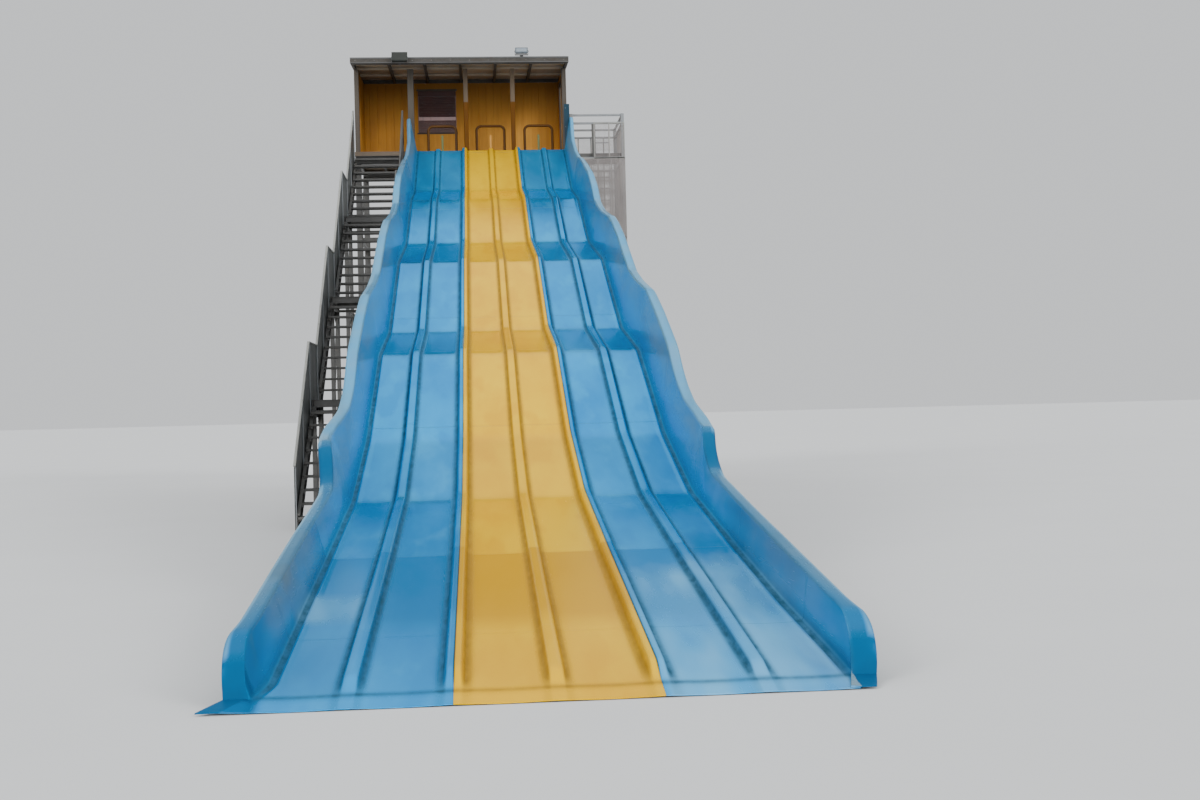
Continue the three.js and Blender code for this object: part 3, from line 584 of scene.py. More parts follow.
def paint(name, colour, dark, rust=0.35, gloss=0.45, **sockets):
    """Weathered paint on steel: cloudy tone, runs down the faces, chips and rust."""
    make = Finish(name, **sockets)
    clouds = make.noise(3.0, (1, 1, 0.4), 6.0, 0.6)
    make.tint = make.mix(make.span(clouds, 0.35, 0.65), dark, colour)
    make.lay(make.times(make.attribute("tone"), 0.3), dark)
    runs = make.noise(9.0, (1, 1, 0.06), 4.0)
    make.lay(make.spots(runs, 0.55, 0.75, 0.35), (0.05, 0.045, 0.035))
    chips = make.spots(make.noise(22.0, (1, 1, 0.8), 8.0, 0.75), 0.6, 0.66, rust)
    make.lay(chips, (0.13, 0.055, 0.022))
    rough = make.plus(make.span(clouds, 0.3, 0.7, gloss, gloss + 0.2), make.times(chips, 0.3))
    return make.done(rough, make.noise(45.0, (1, 1, 1), 5.0), 0.001)


def timber(name, colour, dark, grain, wear=0.4, shade=None):
    """Painted or bare boards: tone by board, grain along one axis, worn paint and stains. shade holds two
    heights between which the boards turn dark."""
    make = Finish(name, Specular_IOR_Level=0.2)
    fibres = make.noise(14.0, grain, 8.0, 0.65)
    make.tint = make.mix(make.span(fibres, 0.3, 0.7), dark, colour)
    make.lay(make.times(make.attribute("tone"), 0.4), dark)
    stains = make.noise(2.2, (1, 1, 0.5), 5.0, 0.6)
    make.lay(make.spots(stains, 0.5, 0.72, wear), (0.055, 0.04, 0.028))
    if shade:
        # painted shade: the boards darker towards the top, under the roof
        make.lay(make.span(make.axis("Z"), *shade, 0.0, 0.85), darker(dark, 0.25))
    return make.done(make.span(fibres, 0.3, 0.7, 0.6, 0.8), fibres, 0.0015)


def slide_finishes():
    return {
        # the fourth colour is faded gel coat with a painted highlight, the fifth is soiling with painted
        # crease shade
        "blue": gel_coat("gel_coat_blue", (0.025, 0.32, 0.67), (0.012, 0.22, 0.53), (0.055, 0.43, 0.77),
                         (0.23, 0.5, 0.7), (0.012, 0.045, 0.07), 0.6, (0.05, 0.75, 1.0)),
        "yellow": gel_coat("gel_coat_yellow", (0.79, 0.47, 0.0), (0.68, 0.355, 0.0), (0.83, 0.53, 0.002),
                           (0.8, 0.58, 0.11), (0.24, 0.125, 0.01), 0.3, (1.0, 0.72, 0.02)),
        "blue_back": laminate("laminate_blue", (0.16, 0.27, 0.34), (0.08, 0.16, 0.22)),
        "yellow_back": laminate("laminate_yellow", (0.44, 0.36, 0.2), (0.3, 0.23, 0.12)),
    }


def timber_finishes():
    ochre_shade = (deck_top + 0.9, deck_top + 2.1)
    return {
        "ochre": timber("boards_ochre", (0.74, 0.36, 0.06), (0.6, 0.26, 0.035), (1, 1, 0.05), 0.15,
                        ochre_shade),
        "trim": timber("timber_grey_brown", (0.1, 0.086, 0.069), (0.065, 0.054, 0.043), (1, 1, 0.06)),
        "beam": timber("timber_beam", (0.085, 0.079, 0.07), (0.045, 0.041, 0.036), (1, 0.05, 1)),
        "ceiling": timber("boards_ceiling", (0.42, 0.35, 0.26), (0.31, 0.25, 0.185), (0.05, 1, 1), 0.25),
        "deck": timber("boards_deck", (0.27, 0.21, 0.15), (0.15, 0.115, 0.085), (0.05, 1, 1)),
    }


def paint_finishes():
    """Paints, each with its colour, its darker tone, its rust and its gloss; the last ones mirror less."""
    paints = {
        "steel": ("steel_grey_paint", (0.27, 0.285, 0.29), (0.19, 0.2, 0.205)),
        "dark": ("steel_dark_paint", (0.1, 0.097, 0.088), (0.06, 0.058, 0.054), 0.5),
        "light": ("steel_light_paint", (0.3, 0.3, 0.27), (0.22, 0.22, 0.2), 0.2, 0.4),
        "fin_green": ("fin_green_paint", (0.12, 0.15, 0.045), (0.09, 0.11, 0.03), 0.1, 0.5),
        "fin": ("fin_yellow_paint", (0.62, 0.29, 0.03), (0.45, 0.2, 0.02), 0.1, 0.5),
        "roof": ("roof_sheet_paint", (0.1, 0.1, 0.094), (0.065, 0.065, 0.062), 0.6, 0.5),
        "shutter": ("shutter_paint", (0.075, 0.026, 0.022), (0.05, 0.018, 0.016), 0.2, 0.45),
        "shutter_low": ("shutter_low_paint", (0.19, 0.11, 0.1), (0.14, 0.08, 0.074), 0.2, 0.45),
        "bar": ("shutter_bar_paint", (0.6, 0.41, 0.4), (0.48, 0.33, 0.33), 0.2, 0.4),
        "panel": ("panel_grey_paint", (0.085, 0.09, 0.085), (0.055, 0.058, 0.055), 0.4, 0.42),
        "mesh": ("mesh_wire_paint", (0.4, 0.36, 0.34), (0.3, 0.27, 0.255), 0.3, 0.5),
        "lamp": ("lamp_housing", (0.13, 0.155, 0.175), (0.095, 0.112, 0.127), 0.1, 0.35),
        "glass": ("lamp_glass", (0.26, 0.3, 0.33), (0.2, 0.23, 0.26), 0.0, 0.25),
        "rubber": ("rubber_pad", (0.03, 0.03, 0.032), (0.018, 0.018, 0.02), 0.0, 0.7),
    }
    matt_paints = {
        "post": (0.15, "post_paint", (0.15, 0.108, 0.07), (0.108, 0.077, 0.05), 0.2, 0.5),
        "post_foot": (0.1, "post_foot_paint", (0.12, 0.045, 0.003), (0.09, 0.032, 0.002), 0.2, 0.5),
        "brown": (0.15, "tube_brown_paint", (0.1, 0.042, 0.007), (0.07, 0.028, 0.005), 0.2, 0.45),
        "guard": (0.1, "guard_sheet_paint", (0.016, 0.05, 0.075), (0.012, 0.037, 0.055), 0.15, 0.5),
        "smoked": (0.2, "lamp_glass_smoked", (0.035, 0.037, 0.032), (0.025, 0.027, 0.023), 0.0, 0.4),
    }
    finishes = {name: paint(*values) for name, values in paints.items()}
    for name, (mirror, *values) in matt_paints.items():
        finishes[name] = paint(*values, Specular_IOR_Level=mirror)
    finishes["bolt"] = paint("bolt_zinc", (0.42, 0.42, 0.41), (0.26, 0.25, 0.24), 0.3, 0.35, Metallic=0.7)
    return finishes


looks = slide_finishes() | timber_finishes() | paint_finishes()


# Slide lines


def smooth_line(points, half):
    """A function that follows a line of points with bends rounded over half their length each way."""
    step = 0.01
    beyond = 2
    xs, ys = np.array(points, float).T
    x = np.arange(-beyond, slide_run + beyond, step)
    first_slope = (ys[1] - ys[0]) / (xs[1] - xs[0])
    last_slope = (ys[-1] - ys[-2]) / (xs[-1] - xs[-2])
    y = np.interp(x, xs, ys)
    y = np.where(x < xs[0], ys[0] + (x - xs[0]) * first_slope, y)
    y = np.where(x > xs[-1], ys[-1] + (x - xs[-1]) * last_slope, y)
    kernel = np.bartlett(2 * int(half / step) + 1)
    rounded = np.convolve(y, kernel / kernel.sum(), "same")
    return lambda run: np.interp(run, x, rounded)


floor_line = smooth_line(floor_points, floor_bend)
wall_line = smooth_line(wall_points, wall_bend)


def smoothstep(value, start, end):
    share = np.clip((value - start) / (end - start), 0, 1)
    return share * share * (3 - 2 * share)


def rise(value, start, end):
    """Nothing before the start, one after the end."""
    return float(smoothstep(value, start, end))


def fade(value, start, end):
    """One before the start, nothing after the end."""
    return 1 - rise(value, start, end)


def hump(value, middle, spread):
    """One in the middle, nothing well beyond its spread."""
    return math.exp(-((value - middle) / spread) ** 2)


def floor_at(run):
    """Height of a lane's floor; a flange at the front slopes down to the ground."""
    ramp = flange_edge + (floor_line(flange_run) - flange_edge) * max(run, 0) / flange_run
    return float(ramp if run < flange_run else floor_line(run))


def wall_at(run, side):
    """Height of the outer wall above the floor: low along the run-out, a steep end of the slope's wall at
    the crest, and a rounded nose."""
    near = run + np.linspace(-0.06, 0.06, 5)
    step = np.mean(np.clip((near - step_top[side]) / step_length + 1, 0, 1) ** 2.2)
    height = low_wall + (wall_line(run) - low_wall) * step
    share = np.clip((run - flange_run) / nose_run, 0.0002, 1)
    return float(np.maximum(0.006, height * np.sqrt(1 - (1 - share) ** 2)))


# Slide shells

# A point of a profile is its x from the strip's middle, its z above the floor, and a third value: soiling
# with painted shade in the creases, feet and flanks.


def mirrored(profile):
    return [(-x, z, grime_and_shade) for x, z, grime_and_shade in reversed(profile)]


def rim_profile(scale):
    """Raised edge of a strip, from its outer face to the lane."""
    # third values: soiling with painted shade at the outer edge and in the crease at the rim's foot
    line = [(0, 0.066, 1), (0.004, 0.073, 0.7), (0.009, 0.075, 0.1), (0.034, 0.075, 0), (0.043, 0.071, 0.1),
            (0.051, 0.059, 0.5), (0.064, 0.02, 1), (0.071, 0.007, 1), (0.08, 0.001, 1), (0.1, 0, 0.7),
            (0.12, 0, 0.15), (0.14, 0, 0)]
    return [(x - strip_edge, z * scale, grime_and_shade) for x, z, grime_and_shade in line]


def rib_profile(scale):
    """Ridge between the two lanes of a strip, from its left foot to its right foot."""
    # third values: soiling with painted shade on the flanks and in the creases at the feet
    right = [(0.018, 0.0485, 0), (0.036, 0.046, 0.05), (0.044, 0.041, 0.35), (0.05, 0.031, 0.9),
             (0.061, 0.009, 1), (0.072, 0.001, 1), (0.086, 0, 0.8), (0.1, 0, 0.3), (0.12, 0, 0)]
    whole = mirrored(right) + [(0, rib_height, 0)] + right
    return [(x, z * scale, grime_and_shade) for x, z, grime_and_shade in whole]


def lane_profile(start, end):
    """Lane floor between two feet, very slightly dished."""
    dish = 0.012
    return [(start + (end - start) * s, -dish * s * (1 - s), 0) for s in (0.12, 0.3, 0.5, 0.7, 0.88)]


def foot_profile(foot, k):
    """Foot of an outer wall: a bead along it, then a tight crease up into the face."""
    # third values: soiling with painted shade in the crease up into the face
    bead = [(-0.05, 0, 0), (-0.042, 0.003, 0), (-0.03, 0.0045, 0), (-0.018, 0.003, 0.1), (-0.012, 0, 0.9)]
    radius, turn, steps = 0.045, math.radians(68), 4
    line = [(foot + x, z * k, grime_and_shade) for x, z, grime_and_shade in bead]
    for i in range(steps + 1):
        a = turn * i / steps
        line.append((foot + radius * math.sin(a), radius * k * (1 - math.cos(a)), 1 if i < 3 else 0.5))
    return line


def wall_profile(height, flare, foot_out, swell):
    """Outer wall: its foot, a leaning face and a rolled lip that turns down outside. swell is the lip's
    extra width at the rounded front end, or what it loses at the top. A grime of minus one stands for the
    lip and minus two for the lip's outer edge."""
    k = min(1, height / low_wall)
    line = foot_profile(wall_foot + foot_out, k)
    x0, z0 = line[-1][:2]
    x1, z1 = strip_edge + wall_lean * height + flare - lip_back - swell, height - 0.014 * k
    for share in (0.15, 0.4, 0.65, 0.85, 0.95):
        line.append((x0 + (x1 - x0) * share, z0 + (z1 - z0) * share, 0.2 if share < 0.2 else 0))
    lip = [(0, 0.014, 1), (0.06, 0.005, 1), (0.2, 0, 1), (0.45, 0.0005, 1), (0.66, 0.004, 1),
           (0.83, 0.012, 2), (0.94, 0.024, 2), (1, 0.038, 2), (1, 0.058, 2)]
    return line + [(x1 + x * (lip_width + swell), height - drop * k, -kind) for x, drop, kind in lip]


def wall_flare(run, side):
    """How far the top of a wall leans out more than elsewhere: at the nose, along its low part and by its
    steep end, and at the flange."""
    bulge, past_step, spread = step_flare[side]
    flare = nose_flare * fade(run, 0, 0.9) + low_flare[side] * fade(run, 3, 6.5)
    flare += bulge * hump(run, step_top[side] + past_step, spread)
    return flare + flange_tip[side] * max(0.0, 1 - run / flange_run)


def strip_profile(run, side):
    """Top line of one strip at a distance, from its left edge to its right edge."""
    scale = max(0.03, rise(run, 0.18, 0.5))
    rim, rib = rim_profile(scale), rib_profile(scale)
    if side == 0:
        right = mirrored(rim)
    else:
        foot_out = nose_foot[side] * fade(run, 0.1, nose_foot_end[side])
        swell = nose_lip[side] * fade(run, 0.3, 0.8) - top_lip * rise(run, 22, 26)
        right = wall_profile(wall_at(run, side), wall_flare(run, side), foot_out, swell)
    line = rim + lane_profile(rim[-1][0], rib[0][0]) + rib + lane_profile(rib[-1][0], right[0][0]) + right
    return mirrored(line) if side < 0 else line


def lip_marks_shade_and_highlight(run, side):
    """Soiling of the lip, and of its outer edge. Below nothing is pale, faded gel coat with a painted
    highlight: the edge everywhere, the lip only on the slopes. The front end and the steep end are dark
    instead, with painted shade."""
    # painted shade: the lip darker at the front end and the steep end
    dark = 0.9 * fade(run, flange_run, flange_run + 0.12) + 0.9 * hump(run, step_top[side] - 0.25, 0.22)
    clean = fade(dark, 0, 0.4)
    on_slope = rise(run, step_top[side], step_top[side] + 0.4)
    return dark + clean * (0.2 - 0.8 * on_slope), dark - clean * 0.8


def cross_dirt_and_shade(run):
    """Dark lines that lie right across: painted shade in the crease at the flange, and soiling along the
    sealed joints.
    """
    near_joint = any(abs(run - joint_at(joint)) < 0.003 for joint in range(module_count))
    return 0.75 * hump(run, flange_run + 0.01, 0.04) + (0.5 if near_joint else 0.0)


def shell_stations(first, last):
    """Distances of one section's rings: even steps, closer at the flange, the steep ends and the joints."""
    start, end = joint_at(first) + gap if first else 0.0, joint_at(last)
    close = [0.003, 0.183, 0.187, 0.194, 0.198, 0.205, 0.215, 0.225, 0.235, 0.26, 0.28, 0.32, 0.34]
    close += list(np.arange(step_top[-1] - 0.4, step_top[1] + 0.04, 0.02))
    for joint in range(module_count):
        close += [joint_at(joint) + offset for offset in (-0.006, -0.0025, 0.0025, 0.006)]
    stations = [*np.arange(start, end, 0.05), *(run for run in close if start < run < end), end]
    return sorted({round(float(run), 5) for run in stations})


def shell_ring(run, side):
    """Points and wear of one ring: the top line, and back along the underside. The wear holds soiling with
    painted shade, and the lip's pale marks with a painted highlight.
    """
    top = np.array(strip_profile(run, side))
    line, grime_and_shade = top[:, :2], top[:, 2]
    along = np.gradient(line, axis=0)
    along /= np.linalg.norm(along, axis=1)[:, None]
    under = line + np.stack([along[:, 1], -along[:, 0]], 1) * skin
    thinned = 0.006 if run < 0.001 else 0.0
    ring = np.concatenate([line - [0, thinned], under[::-1]])
    z = np.maximum(ring[:, 1] + floor_at(run), gap)
    points = np.column_stack([ring[:, 0] + side * strip_width, np.full(len(ring), place(run)), z])
    # wear: soiling with painted shade in the creases and across, and the lip's painted shade and highlight
    wear = np.clip(grime_and_shade * (0.25 + 0.75 * rise(run, 0.15, 0.4)) + cross_dirt_and_shade(run), 0, 1)
    if side:
        lip, lip_edge = lip_marks_shade_and_highlight(run, side)
        wear = np.where(grime_and_shade == -1, lip, np.where(grime_and_shade == -2, lip_edge, wear))
    return points, np.concatenate([wear, np.zeros(len(top))])


def flange_plate(shape, run, side):
    """Downstand flange across the back of a moulding at a joint, wider up the outer wall."""
    top, lip_points = np.array(strip_profile(run, side))[:, :2], 9
    if side:
        top = top[lip_points:] if side < 0 else top[:-lip_points]
    x, z = top[:, 0], top[:, 1]
    floor = floor_at(run)
    up_wall = np.clip(z / 0.12, 0, 1) * (np.abs(x) > strip_edge - 0.16) * (np.sign(x) == side) * (side != 0)
    outer_x = x + side * 0.05 * up_wall
    outer_z = np.where(up_wall > 0, z - 0.06 * (1 - up_wall), -0.065)
    middle = side * strip_width
    for near in (-0.012, 0.002):
        y = place(run) + near
        ring = [(a + middle, y, b + floor - 0.004) for a, b in zip(x, z)]
        ring += [(a + middle, y, b + floor) for a, b in zip(outer_x[::-1], outer_z[::-1])]
        shape.plate(ring, (0, 0.01, 0), 1, 0.5, folded_end_faces)
    for x in (-0.5, -0.3, -0.12, 0.12, 0.3, 0.44):
        shape.bolt((x * (side or 1) + middle, place(run) - 0.012, floor - 0.045), forward, 0.022, 0.012, 2)


def stiffeners(shape, start, end, side):
    """Top-hat stiffeners under both lanes, clear of the trestle before the next joint."""
    runs = np.linspace(start + 0.1, end - 0.46, 22)
    section = [(-0.05, -0.009), (-0.03, -0.05), (0.03, -0.05), (0.05, -0.009)]
    for x in (-0.32, 0.3):
        middle = x * (side or 1) + side * strip_width
        points = [Vector((middle + u, place(run), floor_at(run) + v)) for run in runs for u, v in section]
        shape.add(points, tube_faces(4, len(runs)) + end_faces(4, len(runs)), 1, 0.5)


def build_shell(strip, side, colour, section, first, last):
    """One length of a strip as a thin closed moulding, with its flanges and stiffeners below."""
    rings, wear = zip(*(shell_ring(run, side) for run in shell_stations(first, last)))
    sides = len(rings[0])
    above = [j < sides // 2 or j == sides - 1 for j in range(sides)]
    shape = Shape()
    faces = tube_faces(sides, len(rings)) + folded_end_faces(sides, len(rings))
    shape.add([Vector(p) for p in np.concatenate(rings)], faces, 0, 0.5)
    shape.slots[: sides * (len(rings) - 1)] = [0 if top else 1 for top in above] * (len(rings) - 1)
    for joint in range(max(first, 1), last):
        flange_plate(shape, joint_at(joint), side)
    for joint in range(first, last):
        stiffeners(shape, joint_at(joint), joint_at(joint + 1), side)
    # per-point wear of the shell: soiling, painted shade and painted highlight
    worn = np.zeros(len(shape.points))
    worn[: sides * len(rings)] = np.concatenate(wear)
    node = f"{strip}_{section}"
    shape.build(node + "_shell", (colour, colour + "_back", "bolt"), colour + "_shell", [node], 40, worn)


def build_slide():
    """Nine shells: three strips in three lengths."""
    strips = (("left_strip", -1, "blue"), ("middle_strip", 0, "yellow"), ("right_strip", 1, "blue"))
    for strip, side, colour in strips:
        for section, (first, last) in section_ends.items():
            build_shell(strip, side, colour, section, first, last)


# Steelwork


def base_plate(shape, x, y, size=0.22):
    """Base plate with four gussets and four anchor bolts with washers."""
    half, post_face, thickness = size / 2, 0.049, 0.008
    shape.box((x - half, y - half, gap), (x + half, y + half, plate_top), 0, None, 0.003)
    for dx, dy in ((1, 0), (-1, 0), (0, 1), (0, -1)):
        thin = Vector((dy, dx, 0)) * thickness
        near = Vector((x + dx * post_face, y + dy * post_face, plate_top)) - thin / 2
        far = Vector((x + dx * (half - 0.012), y + dy * (half - 0.012), plate_top)) - thin / 2
        shape.plate([near, far, far + Vector((0, 0, 0.015)), near + Vector((0, 0, 0.09))], thin)
    for corner in four_corners(x, y, half - 0.032):
        at = (*corner, plate_top)
        shape.rod(at, 0.004, 0.019, 12, 1, 0.5)
        shape.bolt(at, upward, 0.028, 0.022, 1)
        shape.rod(at, 0.04, 0.008, 8, 1, 0.5)


def brace(shape, start, end, face, size=0.06):
    """An angle between two posts with a bolted gusset at each end; face is the way the gussets look."""
    a, b, n = Vector(start), Vector(end), Vector(face)
    shape.sweep(angle_section(size), [a, b], face)
    along = (b - a).normalized()
    across = along.cross(n).normalized()
    gusset, behind, thickness = [(-0.1, -0.07), (0.11, -0.045), (0.11, 0.045), (-0.1, 0.07)], 0.034, 0.008
    for corner, way in ((a, along), (b, -along)):
        middle = corner + way * 0.1 - n * behind
        shape.plate([middle + way * u + across * v for u, v in gusset], n * -thickness)
        for u in (0.0, 0.07):
            shape.bolt(middle + way * u - n * thickness, -n, 0.022, 0.012, 1)


def tie_heights(top):
    """Heights of the level ties below a top: one every two metres, well clear of it."""
    spacing, clearance = 2.0, 0.7
    return list(np.arange(spacing, top - clearance, spacing))


def braced_ties(shape, y, top, outer, rising, falling):
    """Level ties between the outer posts of a row, and under each one brace that rises to it and one that
    falls from it. outer, rising and falling each hold two places in x."""
    below = lowest_brace
    for z in tie_heights(top):
        shape.tube((outer[0], y, z), (outer[1], y, z), 0.06, 0.005, rearward)
        brace(shape, (rising[0], y, below), (rising[1], y, z - 0.03), rearward)
        brace(shape, (falling[0], y, z - 0.03), (falling[1], y, below), rearward)
        below = z


def saddle(shape, run, half, slope, under):
    """Rubber pads between a cross beam and the six lanes."""
    width, floor_depth = 0.22, 0.0105
    low = [(place(b), under + (b - run) * slope) for b in (run - half, run + half)]
    high = [(place(b), floor_at(b) - floor_depth) for b in (run + half, run - half)]
    for lane in lane_middles:
        shape.plate([(lane - width / 2, *point) for point in low + high], (width, 0, 0), 2, 0.5)


def post_head(shape, seat, slope, depth):
    """Top of a trestle's post: a bolted cap plate, and two stiffeners in the web of the beam on it. seat is
    the place on top of the beam, and depth is the beam's."""
    along, normal = Vector((0, 1, slope)), Vector((0, -slope, 1)).normalized()
    reach, thickness, flange, half_web = 0.085, 0.012, 0.011, Vector((0.004, 0, 0))
    cap = seat - normal * (depth + thickness / 2)
    shape.sweep(flat_section(2 * reach, thickness), [cap - along * reach, cap + along * reach], normal)
    for dx, dy in four_corners(0, 0, 0.062, 0.055):
        at = cap + Vector((dx, 0, 0)) + along * dy - normal * thickness / 2
        shape.bolt(at, -normal, 0.022, 0.012, 1)
    for dy in (-0.066, 0.03):
        low = seat + along * dy - normal * (depth - flange)
        high = low + normal * (depth - 2 * flange)
        shape.plate([low - half_web, low + half_web, high + half_web, high - half_web], along * 0.036)


def build_trestle(number):
    """Three tube posts, an I beam across, angles between them and a rubber-padded saddle under each lane.
    It stands a little before the joint of its number."""
    shape = Shape()
    run = joint_at(number) - module / 8
    reach, depth = 0.07, 0.15
    slope = (floor_at(run + reach) - floor_at(run - reach)) / (2 * reach)
    y, under = place(run), floor_at(run) - 0.03
    normal = Vector((0, -slope, 1)).normalized()
    axis = Vector((0, y, under)) - normal * depth / 2
    half = Vector((beam_half, 0, 0))
    shape.sweep(beam_section(0.14, depth), [axis - half, axis + half], normal)
    top = under - depth - 0.012
    for x in trestle_posts:
        shape.post(x, y, plate_top, top, 0.1, 0.009)
        post_head(shape, Vector((x, y, under)), slope, depth)
        base_plate(shape, x, y)
    left, middle, right = trestle_posts
    braced_ties(shape, y, top, (left, right), (left + 0.05, middle), (middle, right - 0.05))
    saddle(shape, run, 0.055, slope, under)
    node = f"slide_support_{number}"
    shape.build(node + "_frame", ("steel", "bolt", "rubber"), "steel", [node], 30)


def splice(shape, x, y):
    """Two flange plates where the two lengths of a column are bolted together."""
    joint, thickness, under = 4.0, 0.018, 3.98
    for z in (under, joint):
        shape.post(x, y, z, z + thickness, 0.2, 0.004)
    for at in four_corners(x, y, 0.082):
        shape.bolt((*at, joint + thickness), upward, 0.022, 0.014, 1)
        shape.bolt((*at, under), (0, 0, -1), 0.022, 0.014, 1)


def tower_row(shape, y):
    """Four tube columns with splices, a head beam, level ties and braces in the two outer bays."""
    depth = 0.2
    for x in tower_columns:
        shape.post(x, y, plate_top, under_deck - depth, 2 * column_half, 0.012)
        base_plate(shape, x, y)
        splice(shape, x, y)
    z = under_deck - depth / 2
    shape.sweep(beam_section(0.14, depth), [(deck_left, y, z), (deck_right, y, z)])
    a, b, c, d = tower_columns
    rising, falling = (a + column_half, b - column_half), (c + column_half, d - column_half)
    braced_ties(shape, y, under_deck, (a, d), rising, falling)


def tower_side(shape, x, near, far, face):
    """Level ties and single braces between two columns, in the y-z plane."""
    low, high = near + column_half + gap, far - column_half - gap
    below = lowest_tie
    for z in [below, *tie_heights(under_deck), under_deck - 0.1]:
        shape.tube((x, low, z), (x, high, z), 0.07)
        if z > below:
            brace(shape, (x, low + 0.03, below + 0.03), (x, high - 0.03, z - 0.03), face)
        below = z


def ledge(shape, front):
    """Beam on brackets before the front row, which carries the upper end of the slide."""
    run, depth = slide_run - 0.08, 0.18
    seat = floor_at(run) - 0.03
    y, z = place(run), seat - depth / 2
    shape.sweep(beam_section(0.12, depth), [(-beam_half, y, z), (beam_half, y, z)])
    bracket = [(place(slide_run - 0.14), seat - 0.19), (front - 0.06, deck_top - 0.3),
               (front - 0.06, deck_top - 0.12), (place(slide_run - 0.03), seat - 0.02)]
    for x in np.linspace(-1.8, 1.8, 7):
        shape.plate([(x, *point) for point in bracket], (0.012, 0, 0))
    saddle(shape, run, 0.04, 0.0, seat)


def build_tower():
    """Front and back rows of columns, the ledge that carries the slide, and the side bracing."""
    front, back = place(deck_front + column_half), place(deck_back - column_half)
    shape = Shape()
    tower_row(shape, front)
    ledge(shape, front)
    shape.build("tower_front_steel", ("dark", "bolt", "rubber"), "dark_steel", ["tower_front_frame"], 30)
    shape = Shape()
    tower_row(shape, back)
    shape.build("tower_back_steel", ("dark", "bolt"), "dark_steel", ["tower_back_frame"], 30)
    for name, x, way in (("left", tower_columns[0], 1), ("right", tower_columns[-1], -1)):
        shape = Shape()
        tower_side(shape, x, front, back, (way, 0, 0))
        shape.build(f"tower_{name}_braces", ("dark", "bolt"), "dark_steel", [f"tower_{name}_bracing"], 30)


def build_deck():
    """Deck boards across steel joists, with an edge board all round."""
    shape = Shape()
    low, high = place(deck_front), place(deck_back)
    count, board, split, edge, clear = 18, 0.03, 0.003, 0.022, 0.001
    width = (high - low) / count
    for i in range(count):
        y = low + i * width
        shape.box((deck_left, y + split, deck_top - board), (deck_right, y + width - split, deck_top))
    bottom, top = deck_top - deck_depth, deck_top - board - clear
    middle = deck_top - 0.065
    for x in np.linspace(deck_left + 0.04, deck_right - 0.04, 10):
        joist = beam_section(0.05, top - bottom, 0.006, 0.005)
        shape.sweep(joist, [(x, low + 0.02, middle), (x, high - 0.02, middle)], upward, 1)
    for y in (low, high - edge):
        shape.box((deck_left, y, bottom), (deck_right, y + edge, top))
    for x in (deck_left, deck_right - edge):
        shape.box((x, low + edge + clear, bottom), (x + edge, high - edge - clear, top))
    shape.build("deck_boards", ("deck", "dark"), "deck_boards", ["deck_floor"])


# Cabin

# A wall's axis is 0 for x or 1 for y. Its stretches are a function of two places that gives pairs of heights,
# between which the wall stands there.


def roof_under(back):
    """Height of the roof's underside at a distance."""
    return roof_low + roof_slope * (back - roof_front)


def wall_box(shape, axis, span, faces, heights, slot, chamfer):
    """A box in a wall, from pairs of places along it, across it and in height."""
    (a, b), (near, far), (low, high) = span, faces, heights
    corners = ((near, a, low), (far, b, high)) if axis else ((a, near, low), (b, far, high))
    shape.box(*corners, slot, None, chamfer)


def boards(shape, axis, start, end, faces, stretches):
    """Upright boards on both faces of a wall, with a sheet between them."""
    count = max(1, round((end - start) / 0.2))
    step = (end - start) / count
    board, sheet, split = 0.02, 0.006, 0.001
    middle = sum(faces) / 2
    layers = [(faces[0], faces[0] + board, split), (middle - sheet / 2, middle + sheet / 2, -split),
              (faces[1] - board, faces[1], split)]
    for near, far, clear in layers:
        for i in range(count):
            a, b = start + i * step + clear, start + (i + 1) * step - clear
            for heights in stretches(a, b):
                wall_box(shape, axis, (a, b), (near, far), heights, 0, 0.003)


def studs(shape, axis, places, faces, stretches):
    """Studs inside a wall between its two layers of boards."""
    half, board = 0.03, 0.0205
    for at in places:
        for heights in stretches(at - half, at + half):
            inside = (faces[0] + board, faces[1] - board)
            wall_box(shape, axis, (at - half, at + half), inside, heights, 1, 0.004)


def build_back_wall():
    """Boarded back wall with its window frame and a skirting board."""
    shape = Shape()
    near, far = place(deck_back - wall_thickness), place(deck_back)
    top = roof_under(deck_back - wall_thickness) - 0.001
    left, right = window_x

    def stretches(a, b):
        if b > left and a < right:
            return [(on_deck, window_sill), (window_head, top)]
        return [(on_deck, top)]

    for start, end in pairwise((deck_left, left, right, deck_right)):
        boards(shape, 0, start, end, (near, far), stretches)
    places = (deck_left + 0.03, -2.7, left - 0.03, right + 0.03, 0.1, 1.0, deck_right - 0.03)
    studs(shape, 0, places, (near, far), stretches)
    front, back = near - 0.01, far - 0.0005
    for z0, z1 in ((window_sill - 0.035, window_sill), (window_head, window_head + 0.05)):
        shape.box((left - 0.03, front, z0), (right + 0.03, back, z1), 2)
    for x0, x1 in ((left - 0.025, left), (right, right + 0.025)):
        shape.box((x0, front, window_sill), (x1, back, window_head), 0)
    skirting, height = near - 0.015, 0.12
    shape.box((deck_left, skirting, on_deck), (deck_right, near - 0.001, on_deck + height), 2)
    for i in range(8):
        shape.bolt((deck_left + 0.3 + i * 0.65, skirting, on_deck + height / 2), forward, 0.012, 0.003, 3)
    shape.build("cabin_back_boards", ("ochre", "beam", "trim", "bolt"), "ochre_boards", ["cabin_back_wall"])


